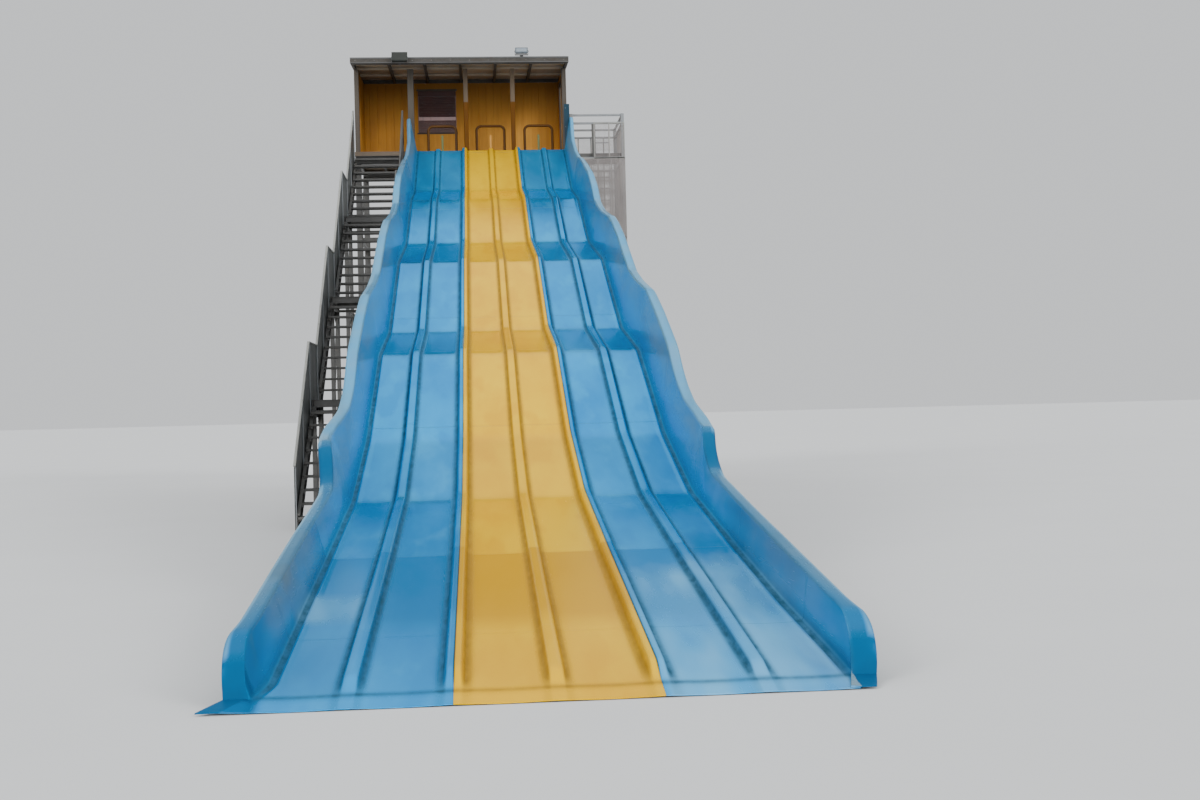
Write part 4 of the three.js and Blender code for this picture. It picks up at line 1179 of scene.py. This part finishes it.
def build_shutter():
    """Closed roller shutter: slats with rolled edges, guides, a box at the head and a stiffening bar."""
    shape = Shape()
    y = place(deck_back - wall_thickness)
    left, right = window_x
    bottom, top, bar = window_sill + 0.002, window_head - 0.13, window_sill + 0.32
    slats, side, guide = 22, 0.012, 0.025
    step = (top - bottom) / slats
    curve = [(0.0, 0.0), (-0.008, 0.2), (-0.011, 0.5), (-0.008, 0.8), (0.0, 0.97), (0.006, 0.97),
             (0.006, 0.0)]
    for i in range(slats):
        z = bottom + i * step
        outline = [(left + side, y + 0.034 + dy, z + share * step) for dy, share in curve]
        shape.plate(outline, (right - left - 2 * side, 0, 0), 0 if z > bar else 2)
    for x in (left + 0.001, right - guide - 0.001):
        shape.box((x, y + 0.012, bottom), (x + guide, y + 0.048, top), 2)
    shape.box((left + 0.001, y + 0.002, top + 0.001), (right - 0.001, y + 0.075, window_head - 0.001), 0)
    shape.box((left + side, y + 0.006, bar), (right - side, y + 0.03, bar + 0.09), 1)
    shape.build("back_window_slats", ("shutter", "bar", "shutter_low"), "shutter", ["back_window_shutter"])


def door_frame(shape, x0, x1, near, far):
    """Lining of the side doorway, a little proud of both faces of its wall."""
    proud, width = 0.006, 0.045
    for y in (near - width, far):
        shape.box((x0 - proud, y, on_deck), (x1 + proud, y + width, doorway_head), 2)
    shape.box((x0 - proud, near - width, doorway_head), (x1 + proud, far + width, doorway_head + 0.05), 2)


def side_wall(name, x0, has_door):
    shape = Shape()
    x1 = x0 + wall_thickness
    start, end = place(post_line + 0.055 + gap), place(deck_back - wall_thickness - gap)
    near, far = (place(back) for back in doorway)

    def stretches(a, b):
        middle = (a + b) / 2
        over_door = has_door and near + 0.01 < middle < far - 0.01
        return [(doorway_head if over_door else on_deck, roof_under(middle - place(0)) - 0.004)]

    for low, high in pairwise((start, near, far, end) if has_door else (start, end)):
        boards(shape, 1, low, high, (x0, x1), stretches)
    inner = (near - 0.035, far + 0.035) if has_door else (start + 0.7, start + 1.4)
    if has_door:
        door_frame(shape, x0, x1, near, far)
    studs(shape, 1, (start + 0.04, *inner, end - 0.04), (x0, x1), stretches)
    shape.build(f"cabin_{name}_boards", ("ochre", "beam", "trim"), "ochre_boards", [f"cabin_{name}_wall"])


def build_side_walls():
    """Boarded side walls; the right one has a framed doorway."""
    side_wall("left", deck_left, False)
    side_wall("right", deck_right - wall_thickness, True)


def build_posts():
    """Front posts with base shoes; the two lane posts are brown up to a person's chest."""
    rows = [
        ("front_post_left_corner", deck_left + 0.055, 0.11, "trim"),
        ("front_post_stair_side", -1.5 * strip_width, 0.15, "trim"),
        ("front_post_left_lane", -0.585, 0.11, "post"),
        ("front_post_right_lane", 0.56, 0.11, "post"),
        ("front_post_right_corner", deck_right - 0.055, 0.11, "trim"),
    ]
    y, shoe = place(post_line), on_deck + 0.01
    for node, x, size, look in rows:
        shape = Shape()
        painted = look == "post"
        change = deck_top + 1.23 if painted else on_deck
        shape.post(x, y, change, roof_under(post_line - size / 2) - 0.001, size, 0.008)
        if painted:
            shape.post(x, y, on_deck, change, size - 0.004, 0.008, 1)
        shape.post(x, y, on_deck, shoe, size + 0.04, 0.004, 2)
        for at in four_corners(x, y, size / 2 + 0.01):
            shape.bolt((*at, shoe), upward, 0.012, 0.008, 2)
        kind = "steel" if painted else "grey_timber"
        shape.build(node + "_dressed", (look, "post_foot", "bolt"), kind, [node])


def build_guard():
    """A folded sheet that closes the corner between the right wall and the cabin."""
    shape = Shape()
    near, far = place(deck_front + 0.03), place(deck_front + 0.1)
    left, right, fold = 1.8, deck_right + 0.05, 0.012
    top = deck_top + 1.12
    outline = [(left, near), (right, near), (right, far), (right - fold, far), (right - fold, near + fold),
               (left, near + fold)]
    shape.plate([(x, y, on_deck) for x, y in outline], (0, 0, top - on_deck))
    for z in (on_deck + 0.1, (on_deck + top) / 2, top - 0.1):
        shape.bolt((left + 0.03, near, z), forward, 0.016, 0.008, 1)
    shape.build("deck_guard_right", ("guard", "bolt"), "panel_grey")


def build_roof():
    """Rafters with trimmers, a boarded ceiling, profiled sheet above and a board all round the edge."""
    shape = Shape()
    front, back = (Vector((0, place(at), roof_under(at))) for at in (roof_front, roof_back))
    up = Vector((1, 0, 0)).cross((back - front).normalized())
    for x in np.linspace(roof_left + 0.03, roof_right - 0.03, 7):
        aside = Vector((x, 0, 0)) + up * rafter_depth / 2
        shape.tube(front + aside, back + aside, (0.06, rafter_depth), 0.005, up)
    edge, inner = (0.05, 0.09, 0), (0.07, 0.055, 1)
    rows = [(roof_front + 0.03, edge), *((at, inner) for at in trimmer_rows), (deck_back - 0.05, edge)]
    for at, (lift, height, look) in rows:
        y, z = place(at), roof_under(at) + lift
        shape.tube((roof_left, y, z), (roof_right, y, z), (0.055, height), 0.005, up, look)
    shape.build("roof_timbers", ("beam", "ceiling"), "grey_timber", ["roof_rafters"])
    build_roof_sheet(front, back, up)
    build_fascia()


def build_roof_sheet(front, back, up):
    """Ceiling boards that lie on the rafters, and trapezoid sheet with screw heads."""
    shape = Shape()
    low, board, sheet, rib = rafter_depth + gap, 0.01, 0.0008, 0.018
    count, width, length = 22, roof_right - roof_left, roof_back - roof_front
    for i in range(count):
        a, b = (roof_front + length * (i + share) / count for share in (0.01, 0.99))
        corners = ((a, low), (b, low), (b, low + board), (a, low + board))
        shape.plate([(roof_left, place(at), roof_under(at) + z) for at, z in corners], (width, 0, 0), 1)
    ribs = int(width / 0.185)
    pitch = width / ribs
    profile = []
    for i in range(ribs):
        x = roof_left + i * pitch
        profile += [(x, 0), (x + pitch * 0.55, 0), (x + pitch * 0.66, rib), (x + pitch * 0.89, rib)]
    profile.append((roof_right, 0))
    ring = profile + [(x, z + sheet) for x, z in reversed(profile)]
    lift = low + board + sheet
    outline = [front + Vector((x, 0, 0)) + up * (lift + z) for x, z in ring]
    shape.plate(outline, back - front, 0, 0.4, folded_end_faces)
    for i in range(0, ribs, 2):
        for at in (roof_front + 0.1, *trimmer_rows, deck_back - 0.05):
            screw = Vector((roof_left + (i + 0.28) * pitch, place(at), roof_under(at))) + up * (lift + 0.001)
            shape.bolt(screw, up, 0.016, 0.006, 2)
    shape.build("roof_sheet_profiled", ("roof", "ceiling", "bolt"), "grey_timber", ["roof_sheet"])


def build_fascia():
    """Front board with a folded metal cap, and side boards that follow the slope."""
    shape = Shape()
    front, cap_width = place(fascia_front), 0.02
    left, right = roof_left - cap_width - gap, roof_right + cap_width + gap
    low, high = roof_low + 0.03, fascia_top
    shape.box((left, front + 0.008, low), (right, front + 0.04, high - 0.002), 0)
    shape.box((left, front, high - 0.035), (right, front + 0.04, high), 1, None, 0.003)
    shape.box((left, front + 0.002, low), (right, front + 0.012, low + 0.02), 1, None, 0.002)
    board = ((roof_front, 0.03), (roof_back, 0.03), (roof_back, 0.155), (roof_front, 0.165))
    cap = ((roof_front, 0.14), (roof_back, 0.14), (roof_back, 0.17), (roof_front, 0.17))
    for x, inset in ((left, 0.004), (roof_right + gap, 0.0)):
        for slot, outline, start, width in ((0, board, x + inset, 0.016), (1, cap, x, cap_width)):
            corners = [(start, place(at), roof_under(at) + lift) for at, lift in outline]
            shape.plate(corners, (width, 0, 0), slot)
    for x in np.linspace(left + 0.12, right - 0.12, 12):
        shape.bolt((x, front + 0.008, low + 0.06), forward, 0.012, 0.003, 2)
    shape.build("roof_edge_boards", ("beam", "roof", "bolt"), "grey_timber", ["roof_fascia"])


def floodlight(shape, centre, size, tilt):
    """A flat cast lamp: finned back, rim, glass and a yoke with its bolts. tilt is its pitch in radians."""
    w, d, h = (measure / 2 for measure in size)
    turn = Matrix.Translation(centre) @ Matrix.Rotation(tilt, 4, "X")

    def put(low, high, slot, chamfer):
        part = Shape()
        part.box(low, high, 0, 0.5, chamfer)
        shape.add([turn @ p for p in part.points], part.faces, slot, 0.5)

    put((-w, -d, -h), (w, d * 0.3, h), 0, 0.012)
    put((-w - 0.008, -d - 0.012, -h - 0.008), (w + 0.008, -d + 0.006, h + 0.008), 0, 0.005)
    put((-w + 0.02, -d - 0.016, -h + 0.02), (w - 0.02, -d - 0.008, h - 0.02), 1, 0.003)
    for x in np.linspace(-w + 0.03, w - 0.03, 9):
        put((x - 0.004, d * 0.3, -h + 0.02), (x + 0.004, d, h - 0.02), 0, 0.001)
    for side in (-1, 1):
        x = side * (w + 0.012)
        put((x - 0.004, -0.02, -h - 0.03), (x + 0.004, 0.02, 0.02), 2, 0.001)
        shape.bolt(turn @ Vector((x + side * 0.003, 0, 0)), (side, 0, 0), 0.03, 0.012, 3)
    put((-w - 0.016, -0.02, -h - 0.036), (w + 0.016, 0.02, -h - 0.03), 2, 0.001)


def build_floodlights():
    """The left lamp hangs before the front board, the right one stands on it."""
    front, high = place(fascia_front), fascia_top
    shape = Shape()
    floodlight(shape, Vector((-2.13, front - 0.07, high - 0.03)), (0.36, 0.09, 0.24), -0.45)
    shape.box((-2.16, front - 0.06, roof_low - 0.02), (-2.1, front - 0.0005, roof_low), 2)
    shape.build("floodlight_left_housing", ("smoked", "smoked", "dark", "bolt"), "lamp_grey",
                ["floodlight_left"])
    shape = Shape()
    floodlight(shape, Vector((0.78, front + 0.005, high + 0.12)), (0.29, 0.1, 0.13), -0.35)
    shape.box((0.74, front - 0.02, high + 0.0005), (0.82, front + 0.035, high + 0.02), 2)
    shape.build("floodlight_right_housing", ("lamp", "glass", "dark", "bolt"), "lamp_grey",
                ["floodlight_right"])


def build_hoops():
    """Bent tube hoops with round flanges and a middle stile in the strip's colour, one over each strip."""
    y, half, bend, top = place(27.98), 0.34, 0.12, deck_top + 0.68
    rows = (("hoop_left_strip", -1.18, "fin_green"), ("hoop_middle_strip", 0.0, "fin"),
            ("hoop_right_strip", 1.18, "fin_green"))
    for node, x, colour in rows:
        shape = Shape()
        left = [(x - half, y, on_deck)]
        for a in np.linspace(0, math.pi / 2, 9):
            left.append((x - half + bend * (1 - math.cos(a)), y, top - bend + bend * math.sin(a)))
        right = [(2 * x - px, py, pz) for px, py, pz in reversed(left)]
        shape.sweep(round_section(0.032, 16), left + right, rearward)
        shape.post(x, y, on_deck, deck_top + 0.46, (0.05, 0.02), 0.004, 2)
        shape.post(x, y, on_deck, deck_top + 0.008, (0.11, 0.06), 0.003, 2)
        for foot in (x - half, x + half):
            shape.rod((foot, y, on_deck), 0.01, 0.06, 20)
            shape.rod((foot, y, on_deck), 0.024, 0.04, 16)
            for a in (math.pi / 4 * n for n in (1, 3, 5, 7)):
                at = (foot + 0.05 * math.cos(a), y + 0.05 * math.sin(a), on_deck + 0.01)
                shape.bolt(at, upward, 0.014, 0.01, 1)
        shape.build(node + "_tube", ("brown", "bolt", colour), "brown_tube", [node], 40)


# Stair


def flight_start(index):
    """Distance and height at which a flight starts; 0 is the lowest."""
    above = flight_count - index
    return slide_run - above * flight_run - (above - 1) * landing_run, index * flight_rise


def stringer(shape, outer, way, back, low):
    """A channel beside the treads, its web and two flanges. outer is the web's outer face, and way leads
    from it to the treads."""
    web, flange, width, depth, proud = 0.008, 0.008, 0.05, 0.26, 0.03
    near, far, foot = back + gap, back + flight_run - gap, back + gap + 0.06
    floor = low - 0.12 if low else gap
    pitch = riser / going
    top_near, top_far = low + riser + proud, low + (far - back) * pitch + proud
    line = [(near, floor), (foot, floor), (far, top_far - depth), (far, top_far), (near, top_near)]
    left = min(outer, outer + way * web)
    shape.plate([(left, place(b), z) for b, z in line], (web, 0, 0))
    normal = Vector((0, -pitch, 1)).normalized()
    middle = outer + way * width / 2
    upper = ((near, top_near - flange / 2), (far, top_far - flange / 2))
    lower = ((foot, floor + 0.006), (far, top_far - depth + 0.006))
    for ends in (upper, lower):
        shape.sweep(flat_section(width, flange), [(middle, place(b), z) for b, z in ends], normal)
    for step in range(1, flight_steps):
        y, z = place(back + (step - 1) * going + 0.14), low + step * riser
        inner = outer + way * web
        shape.box((inner, y - 0.09, z - 0.075), (inner + way * 0.04, y + 0.09, z - 0.042))
        for dy in (-0.06, 0.06):
            shape.bolt((outer, y + dy, z - 0.058), (-way, 0, 0), 0.018, 0.008, 1)


def grating_bars(shape, ys, left, right, top, depth=0.035):
    """Upright flats of a grating, side by side."""
    for y in ys:
        shape.box((left, y - 0.002, top - depth), (right, y + 0.002, top - 0.001), 0, 0.5, 0.0005)


def grating_rods(shape, xs, near, far, top):
    """Thin rods across the flats of a grating."""
    for x in xs:
        shape.box((x - 0.003, near, top - 0.012), (x + 0.003, far, top - 0.002), 0, 0.5, 0.0005)


def tread(shape, back, depth, top):
    """A grating tread: bearing bars, a nosing and end plates."""
    left, right = stair_left + 0.012, stair_right - 0.012
    near, far, bottom, end = place(back), place(back + depth), top - 0.04, 0.006
    rods = 12
    xs = [left + (right - left) * (i + 0.5) / rods for i in range(rods)]
    grating_bars(shape, np.linspace(near + 0.02, far - 0.006, 9), left, right, top, 0.036)
    grating_rods(shape, xs, near + 0.01, far - 0.004, top)
    shape.box((left, near, bottom), (right, near + 0.018, top), 0, 0.2, 0.004)
    for x in (left, right - end):
        shape.box((x, near, bottom), (x + end, far, top - 0.001), 0, 0.4, 0.001)


def build_flight(index):
    """Channel stringers with bolted grating treads on angle brackets."""
    shape = Shape()
    back, low = flight_start(index)
    stringer(shape, stair_left, 1, back, low)
    stringer(shape, stair_right, -1, back, low)
    for step in range(1, flight_steps):
        depth = going - 2 * gap if step == flight_steps - 1 else tread_depth
        tread(shape, back + (step - 1) * going + gap, depth, low + step * riser)
    node = f"stair_flight_{index + 1}"
    shape.build(node + "_steps", ("dark", "bolt"), "dark_steel", [node], 30)


def landing_floor(shape, near, far, top):
    """Grating in a frame of beams, both level with the landing's top."""
    width = 0.05
    frame_beam, z = beam_section(width, landing_depth, 0.008, 0.006), top - landing_depth / 2
    for x in (stair_left + width / 2, stair_right - width / 2):
        shape.sweep(frame_beam, [(x, near, z), (x, far, z)])
    left, right = stair_left + width, stair_right - width
    for y in (near + width / 2, far - width / 2):
        shape.sweep(frame_beam, [(left, y, z), (right, y, z)])
    grating_bars(shape, np.linspace(near + 0.055, far - 0.055, 36), left, right, top)
    grating_rods(shape, np.linspace(left + 0.03, right - 0.03, 10), near + width, far - width, top)


def landing_legs(shape, near, far, top):
    """Four legs with level ties all round and a brace on both long sides in every storey."""
    half = 0.04
    (left, right), (front, back) = (stair_left + half, stair_right - half), (near + half, far - half)
    for x in (left, right):
        for y in (front, back):
            shape.post(x, y, plate_top, top - landing_depth, 2 * half, 0.007)
            base_plate(shape, x, y, 0.156)
    below = lowest_brace
    for z in [*tie_heights(top), top - 0.2]:
        for y in (front, back):
            shape.tube((left, y, z), (right, y, z), 0.05, 0.004, rearward)
        for x, way in ((left, 1), (right, -1)):
            shape.tube((x, front, z), (x, back, z), 0.05, 0.004)
            brace(shape, (x, front + 0.03, below), (x, back - 0.03, z - 0.03), (way, 0, 0), 0.045)
        below = z


def build_landing(index):
    """Grating landing on its own braced legs."""
    shape = Shape()
    back, low = flight_start(index)
    near, far, top = place(back + flight_run), place(back + flight_run + landing_run), low + flight_rise
    landing_floor(shape, near, far, top)
    landing_legs(shape, near, far, top)
    node = f"stair_landing_{index + 1}"
    shape.build(node + "_steel", ("dark", "bolt"), "dark_steel", [node], 30)


def screen_line(first, last, lift):
    """A line over some flights with their landings, as points of distance and height."""
    line = []
    for index in range(first, last + 1):
        back, low = flight_start(index)
        line += [(back, low + lift), (back + flight_run, low + flight_rise + lift)]
    if last < flight_count - 1:
        line.append((line[-1][0] + landing_run, line[-1][1]))
    return line


def line_height(line, back):
    """Height of a line of points at a distance."""
    return float(np.interp(back, [b for b, _ in line], [z for _, z in line]))


def line_stops(line):
    """Distances of the posts along a line: its bends, and even steps between them."""
    stops = []
    for (a, _), (b, _) in pairwise(line):
        count = max(1, round((b - a) / rail_spacing))
        stops += [a + (b - a) * i / count for i in range(count)]
    return stops + [line[-1][0]]


def panel_sheet(shape, face, a, b, bottom, top):
    """A sheet between two posts, with two narrow cover strips on it."""
    outline = []
    for back, line, trim in ((a, bottom, 0.0), (b, bottom, 0.0), (b, top, 0.02), (a, top, 0.02)):
        outline.append((face - 0.02, place(back), max(0.0005, line_height(line, back) - trim)))
    shape.plate(outline, (-0.004, 0, 0))
    for share in (0.33, 0.66):
        back = a + (b - a) * share
        y = place(back)
        low, high = max(0.001, line_height(bottom, back) + 0.03), line_height(top, back) - 0.05
        shape.box((face - 0.031, y - 0.012, low), (face - 0.024, y + 0.012, high), 0, None, 0.003)


def panel_post(shape, face, y, low, high):
    """A post behind the joint of two sheets, a cover strip over the joint and its bolts."""
    front = face - 0.03
    shape.box((face - 0.0195, y - 0.02, low), (face, y + 0.02, high), 1)
    shape.box((front, y - 0.028, low), (face - 0.0245, y + 0.028, high), 0, None, 0.002)
    for z in np.arange(low + 0.08, high, 0.3):
        shape.bolt((front, y, z), (-1, 0, 0), 0.014, 0.005, 2)


def build_outer_panel(name, first, last):
    """Flat steel sheets on posts with cover strips and a flat handrail."""
    shape = Shape()
    top, bottom = screen_line(first, last, rail_height), screen_line(first, last, -0.3)
    start, end = top[0][0] + (gap if first else 0), top[-1][0]
    face, stops = stair_left - gap, line_stops(top)
    for a, b in pairwise(stops):
        panel_sheet(shape, face, max(a, start) + 0.003, b - 0.003, bottom, top)
    for stop in stops:
        y = place(min(max(stop, start + 0.03), end - 0.03))
        low, high = max(0.001, line_height(bottom, stop) + 0.01), line_height(top, stop) - 0.03
        panel_post(shape, face, y, low, high)
    rail = [(face - 0.0195, place(max(b, start)), z - 0.0125) for b, z in top]
    shape.sweep(box_section(0.042, 0.024, 0.006), rail, upward, 3)
    node = f"stair_outer_panel_{name}"
    shape.build(node + "_sheets", ("panel", "steel", "bolt", "light"), "panel_grey", [node], 40)


def build_inner_rail(name, first, last):
    """Open guard rail of tubes: top rail, middle rail, toe bar, and posts with their base brackets."""
    shape = Shape()
    x, line = stair_right + 0.025 + gap, screen_line(first, last, 0)
    start, end = line[0][0] + (gap if first else 0), line[-1][0]
    for height, radius in ((rail_height - 0.025, 0.0245), (rail_height / 2, 0.019), (0.05, 0.019)):
        shape.sweep(round_section(radius), [(x, place(max(b, start)), z + height) for b, z in line])
    for stop in line_stops(line):
        back = min(max(stop, start + 0.03), end - 0.03)
        y, z = place(back), line_height(line, back)
        shape.rod((x, y, z + 0.02), rail_height - 0.05, 0.021)
        shape.box((x - 0.025, y - 0.035, z + 0.005), (x - 0.017, y + 0.035, z + 0.1))
    node = f"stair_inner_rail_{name}"
    shape.build(node + "_tubes", ("dark",), "steel", [node], 40)


def build_stair():
    for index in range(flight_count):
        build_flight(index)
    for index in range(flight_count - 1):
        build_landing(index)
    for name, first, last in (("lower", 0, 1), ("upper", 2, 3)):
        build_outer_panel(name, first, last)
        build_inner_rail(name, first, last)


# Shaft


def shaft_ring(shape, xs, ys, z, size, sides=4):
    """Level bars between the shaft's posts at one height: in front, on the right, behind and on the left."""
    (left, right), (front, back) = xs, ys
    bars = [((left, front), (right, front)), ((right, front), (right, back)),
            ((left, back), (right, back)), ((left, front), (left, back))]
    for start, end in bars[:sides]:
        shape.tube((*start, z), (*end, z), size)


def build_shaft_frame():
    """Four tube posts with bars round them, braces on the left side and the guard rails at the top."""
    shape = Shape()
    half = shaft_post / 2
    xs = (shaft_left + half, shaft_right - half)
    ys = (place(shaft_front + half), place(shaft_back - half))
    for x in xs:
        for y in ys:
            shape.post(x, y, plate_top, shaft_top, shaft_post, 0.007)
            base_plate(shape, x, y, 0.078)
    levels = [lowest_tie, *tie_heights(under_deck), under_deck - 0.03]
    for z in levels:
        shaft_ring(shape, xs, ys, z, 0.06)
    for z in (shaft_top - 0.03, shaft_rail):
        shaft_ring(shape, xs, ys, z, 0.05, 3)
    shape.post(gate_post, ys[0], under_deck, shaft_top - 0.255, (0.09, 0.07), 0.006, 2)
    for low, high in pairwise(levels):
        start, end = (xs[0], ys[0] + half, low + 0.03), (xs[0], ys[1] - half, high - 0.03)
        brace(shape, start, end, (1, 0, 0), 0.045)
    shape.build("shaft_tubes", ("steel", "bolt", "dark"), "steel", ["shaft_frame"], 30)


def woven_panel(shape, corner, across, width, height, pitch, wire):
    """A flat panel of wires both ways, one layer behind the other, in a frame with upright flats."""
    corner, across, up = Vector(corner), Vector(across), Vector(upward)
    out = across.cross(up)
    layer, thread = out * wire * 0.45, flat_section(wire, wire)
    for i in range(1, int(width / pitch)):
        at = corner + across * (i * pitch) - layer
        shape.sweep(thread, [at, at + up * height], out, 0, 0.5)
    for i in range(1, int(height / pitch)):
        at = corner + up * (i * pitch) + layer
        shape.sweep(thread, [at, at + across * width], upward, 0, 0.5)
    for at in (corner, corner + up * height):
        shape.tube(at, at + across * width, (0.007, 0.03), 0.001, upward, 1, 0.5)
    for reach in np.linspace(0.012, width - 0.012, max(2, round(width / 0.34)) + 1):
        at = corner + across * reach - out * 0.003
        shape.tube(at, at + up * height, (0.03, 0.006), 0.001, out, 1, 0.5)


def build_mesh_cladding():
    """Woven mesh panels on the front, the right side and the back, one between each pair of bars; the mesh
    round the landing is wide and leaves the front open beside the slide."""
    shape = Shape()
    clear = 0.0043
    levels = [lowest_tie, *tie_heights(under_deck), deck_top - 0.13, shaft_rail]
    front, back, side = place(shaft_front) - clear, place(shaft_back) + clear, shaft_right + clear
    half = (back - front) / 2
    for z0, z1 in pairwise(levels):
        at_landing = z1 == shaft_rail
        pitch, wire = (0.03, 0.0045) if at_landing else (0.0165, 0.0065)
        left = gate_post if at_landing else shaft_left
        panels = (
            ((left, front, z0), (1, 0, 0), side - left),
            ((side, front, z0), (0, 1, 0), half - 0.003),
            ((side, front + half, z0), (0, 1, 0), half),
            ((side, back, z0), (-1, 0, 0), side - shaft_left),
        )
        for corner, across, width in panels:
            woven_panel(shape, corner, across, width, z1 - z0 - 0.006, pitch, wire)
    shape.build("shaft_mesh_panels", ("mesh", "light"), "netting", ["shaft_mesh_cladding"], 30)


def build_shaft_landing():
    """Grating landing with a hatch for the ladder in its back right corner."""
    shape = Shape()
    top, bar = deck_top, 0.03
    x0, x1 = deck_right + gap, shaft_right - shaft_post - gap
    y0, y1 = place(shaft_front + shaft_post + gap), place(shaft_back - shaft_post - gap)
    hatch_x, hatch_y = hatch_left, place(hatch_front)
    frame_bars = (
        (x0, y0, x1, y0 + bar),
        (x1 - bar, y0, x1, hatch_y),
        (hatch_x, hatch_y - bar, x1, hatch_y),
        (hatch_x - bar, hatch_y, hatch_x, y1),
        (x0, y1 - bar, hatch_x, y1),
        (x0, y0, x0 + bar, y1),
    )
    for left, near, right, far in frame_bars:
        shape.box((left, near, top - 0.1), (right, far, top))
    for y in np.linspace(y0 + bar, y1 - bar, 56):
        grating_bars(shape, [y], x0 + bar, (x1 if y < hatch_y - bar else hatch_x) - bar, top)
    for x in np.linspace(x0 + 0.08, x1 - 0.08, 12):
        grating_rods(shape, [x], y0 + bar, (y1 if x < hatch_x - bar else hatch_y) - bar, top)
    shape.build("shaft_landing_grating", ("dark",), "dark_steel", ["shaft_landing"], 30)


def build_ladder():
    """Flat-bar stiles with round rungs."""
    shape = Shape()
    low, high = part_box("shaft_ladder")
    y, spacing = (low.y + high.y) / 2, 0.3
    for x in (low.x + 0.02, high.x - 0.02):
        shape.post(x, y, 0.0005, high.z, (0.014, 0.038), 0.003)
    for z in np.arange(spacing, high.z - 0.05, spacing):
        shape.sweep(round_section(0.0125, 10), [(low.x + 0.015, y, z), (high.x - 0.015, y, z)])
    shape.build("shaft_ladder_rungs", ("steel",), "steel", ["shaft_ladder"], 40)


# Stage


def build_stage():
    """A plain pale floor, a bright sky and three very soft lights from the viewer's side."""
    make = Finish("stage_floor")
    make.tint = make.mix(make.noise(0.4), (0.56, 0.56, 0.55), (0.6, 0.6, 0.59))
    mesh = bpy.data.meshes.new("stage_floor")
    size, below = 400, -0.001
    corners = [(-size, -size, below), (size, -size, below), (size, size, below), (-size, size, below)]
    mesh.from_pydata(corners, [], [(0, 1, 2, 3)])
    mesh.materials.append(make.done(0.7))
    floor = bpy.data.objects.new("stage_floor", mesh)
    bpy.context.scene.collection.objects.link(floor)
    build_sky()
    for turn, height, energy in ((-48, 24, 1.7), (48, 24, 1.7), (0, 9, 0.8)):
        light = bpy.data.lights.new("soft_key", "SUN")
        light.energy = energy
        light.angle = math.radians(24)
        lamp = bpy.data.objects.new("soft_key", light)
        lamp.rotation_euler = (math.radians(90 - height), 0, math.radians(turn))
        bpy.context.scene.collection.objects.link(lamp)


def build_sky():
    """A pale backdrop, a bright ceiling and a darker wall low behind the viewer."""
    world = bpy.data.worlds.new("studio")
    bpy.context.scene.world = world
    world.use_nodes = True
    sky = Nodes(world.node_tree, "Generated")
    ahead = sky.span(sky.axis("Y"), 0.3, 0.85, kind="SMOOTHSTEP")
    above = sky.span(sky.axis("Z"), 0.45, 0.67, kind="SMOOTHSTEP")
    low = sky.mix(ahead, (0.3, 0.34, 0.42), (0.8, 0.82, 0.84))
    whole = sky.mix(above, low, (1.55, 1.6, 1.66))
    sky.links.new(whole, sky.nodes["Background"].inputs["Color"])


def build_camera():
    """The photograph's view: a 45 mm lens at eye height, nine metres before the slide, slightly rolled. The
    focal length and the point to which the slide runs are in pixels of the photograph."""
    focal, width, height, sensor = 1500.0, 1200.0, 800.0, 36.0
    vanish_x, vanish_y, roll = 479.5, 412.0, 0.025
    back = Vector(((vanish_x - width / 2) / focal, (vanish_y - height / 2) / focal, 1)).normalized()
    up = Vector((-math.sin(roll), -math.cos(roll), 0))
    up = (up - up.dot(back) * back).normalized()
    seen = Matrix((back.cross(up), back, up)).transposed()
    turn = Matrix((seen[0], -seen[1], -seen[2])).transposed()
    data = bpy.data.cameras.new("camera")
    data.sensor_width = sensor
    data.lens = sensor * focal / width
    data.clip_end = 500
    camera = bpy.data.objects.new("camera", data)
    camera.matrix_world = Matrix.Translation((-0.44, place(-9), 1.75)) @ turn.to_4x4()
    bpy.context.scene.collection.objects.link(camera)
    bpy.context.scene.camera = camera


def main():
    build_camera()
    build_stage()
    build_slide()
    for number in range(1, module_count):
        build_trestle(number)
    for build in (build_tower, build_deck, build_back_wall, build_shutter, build_side_walls, build_posts,
                  build_guard, build_roof, build_floodlights, build_hoops, build_stair, build_shaft_frame,
                  build_mesh_cladding, build_shaft_landing, build_ladder):
        build()


main()
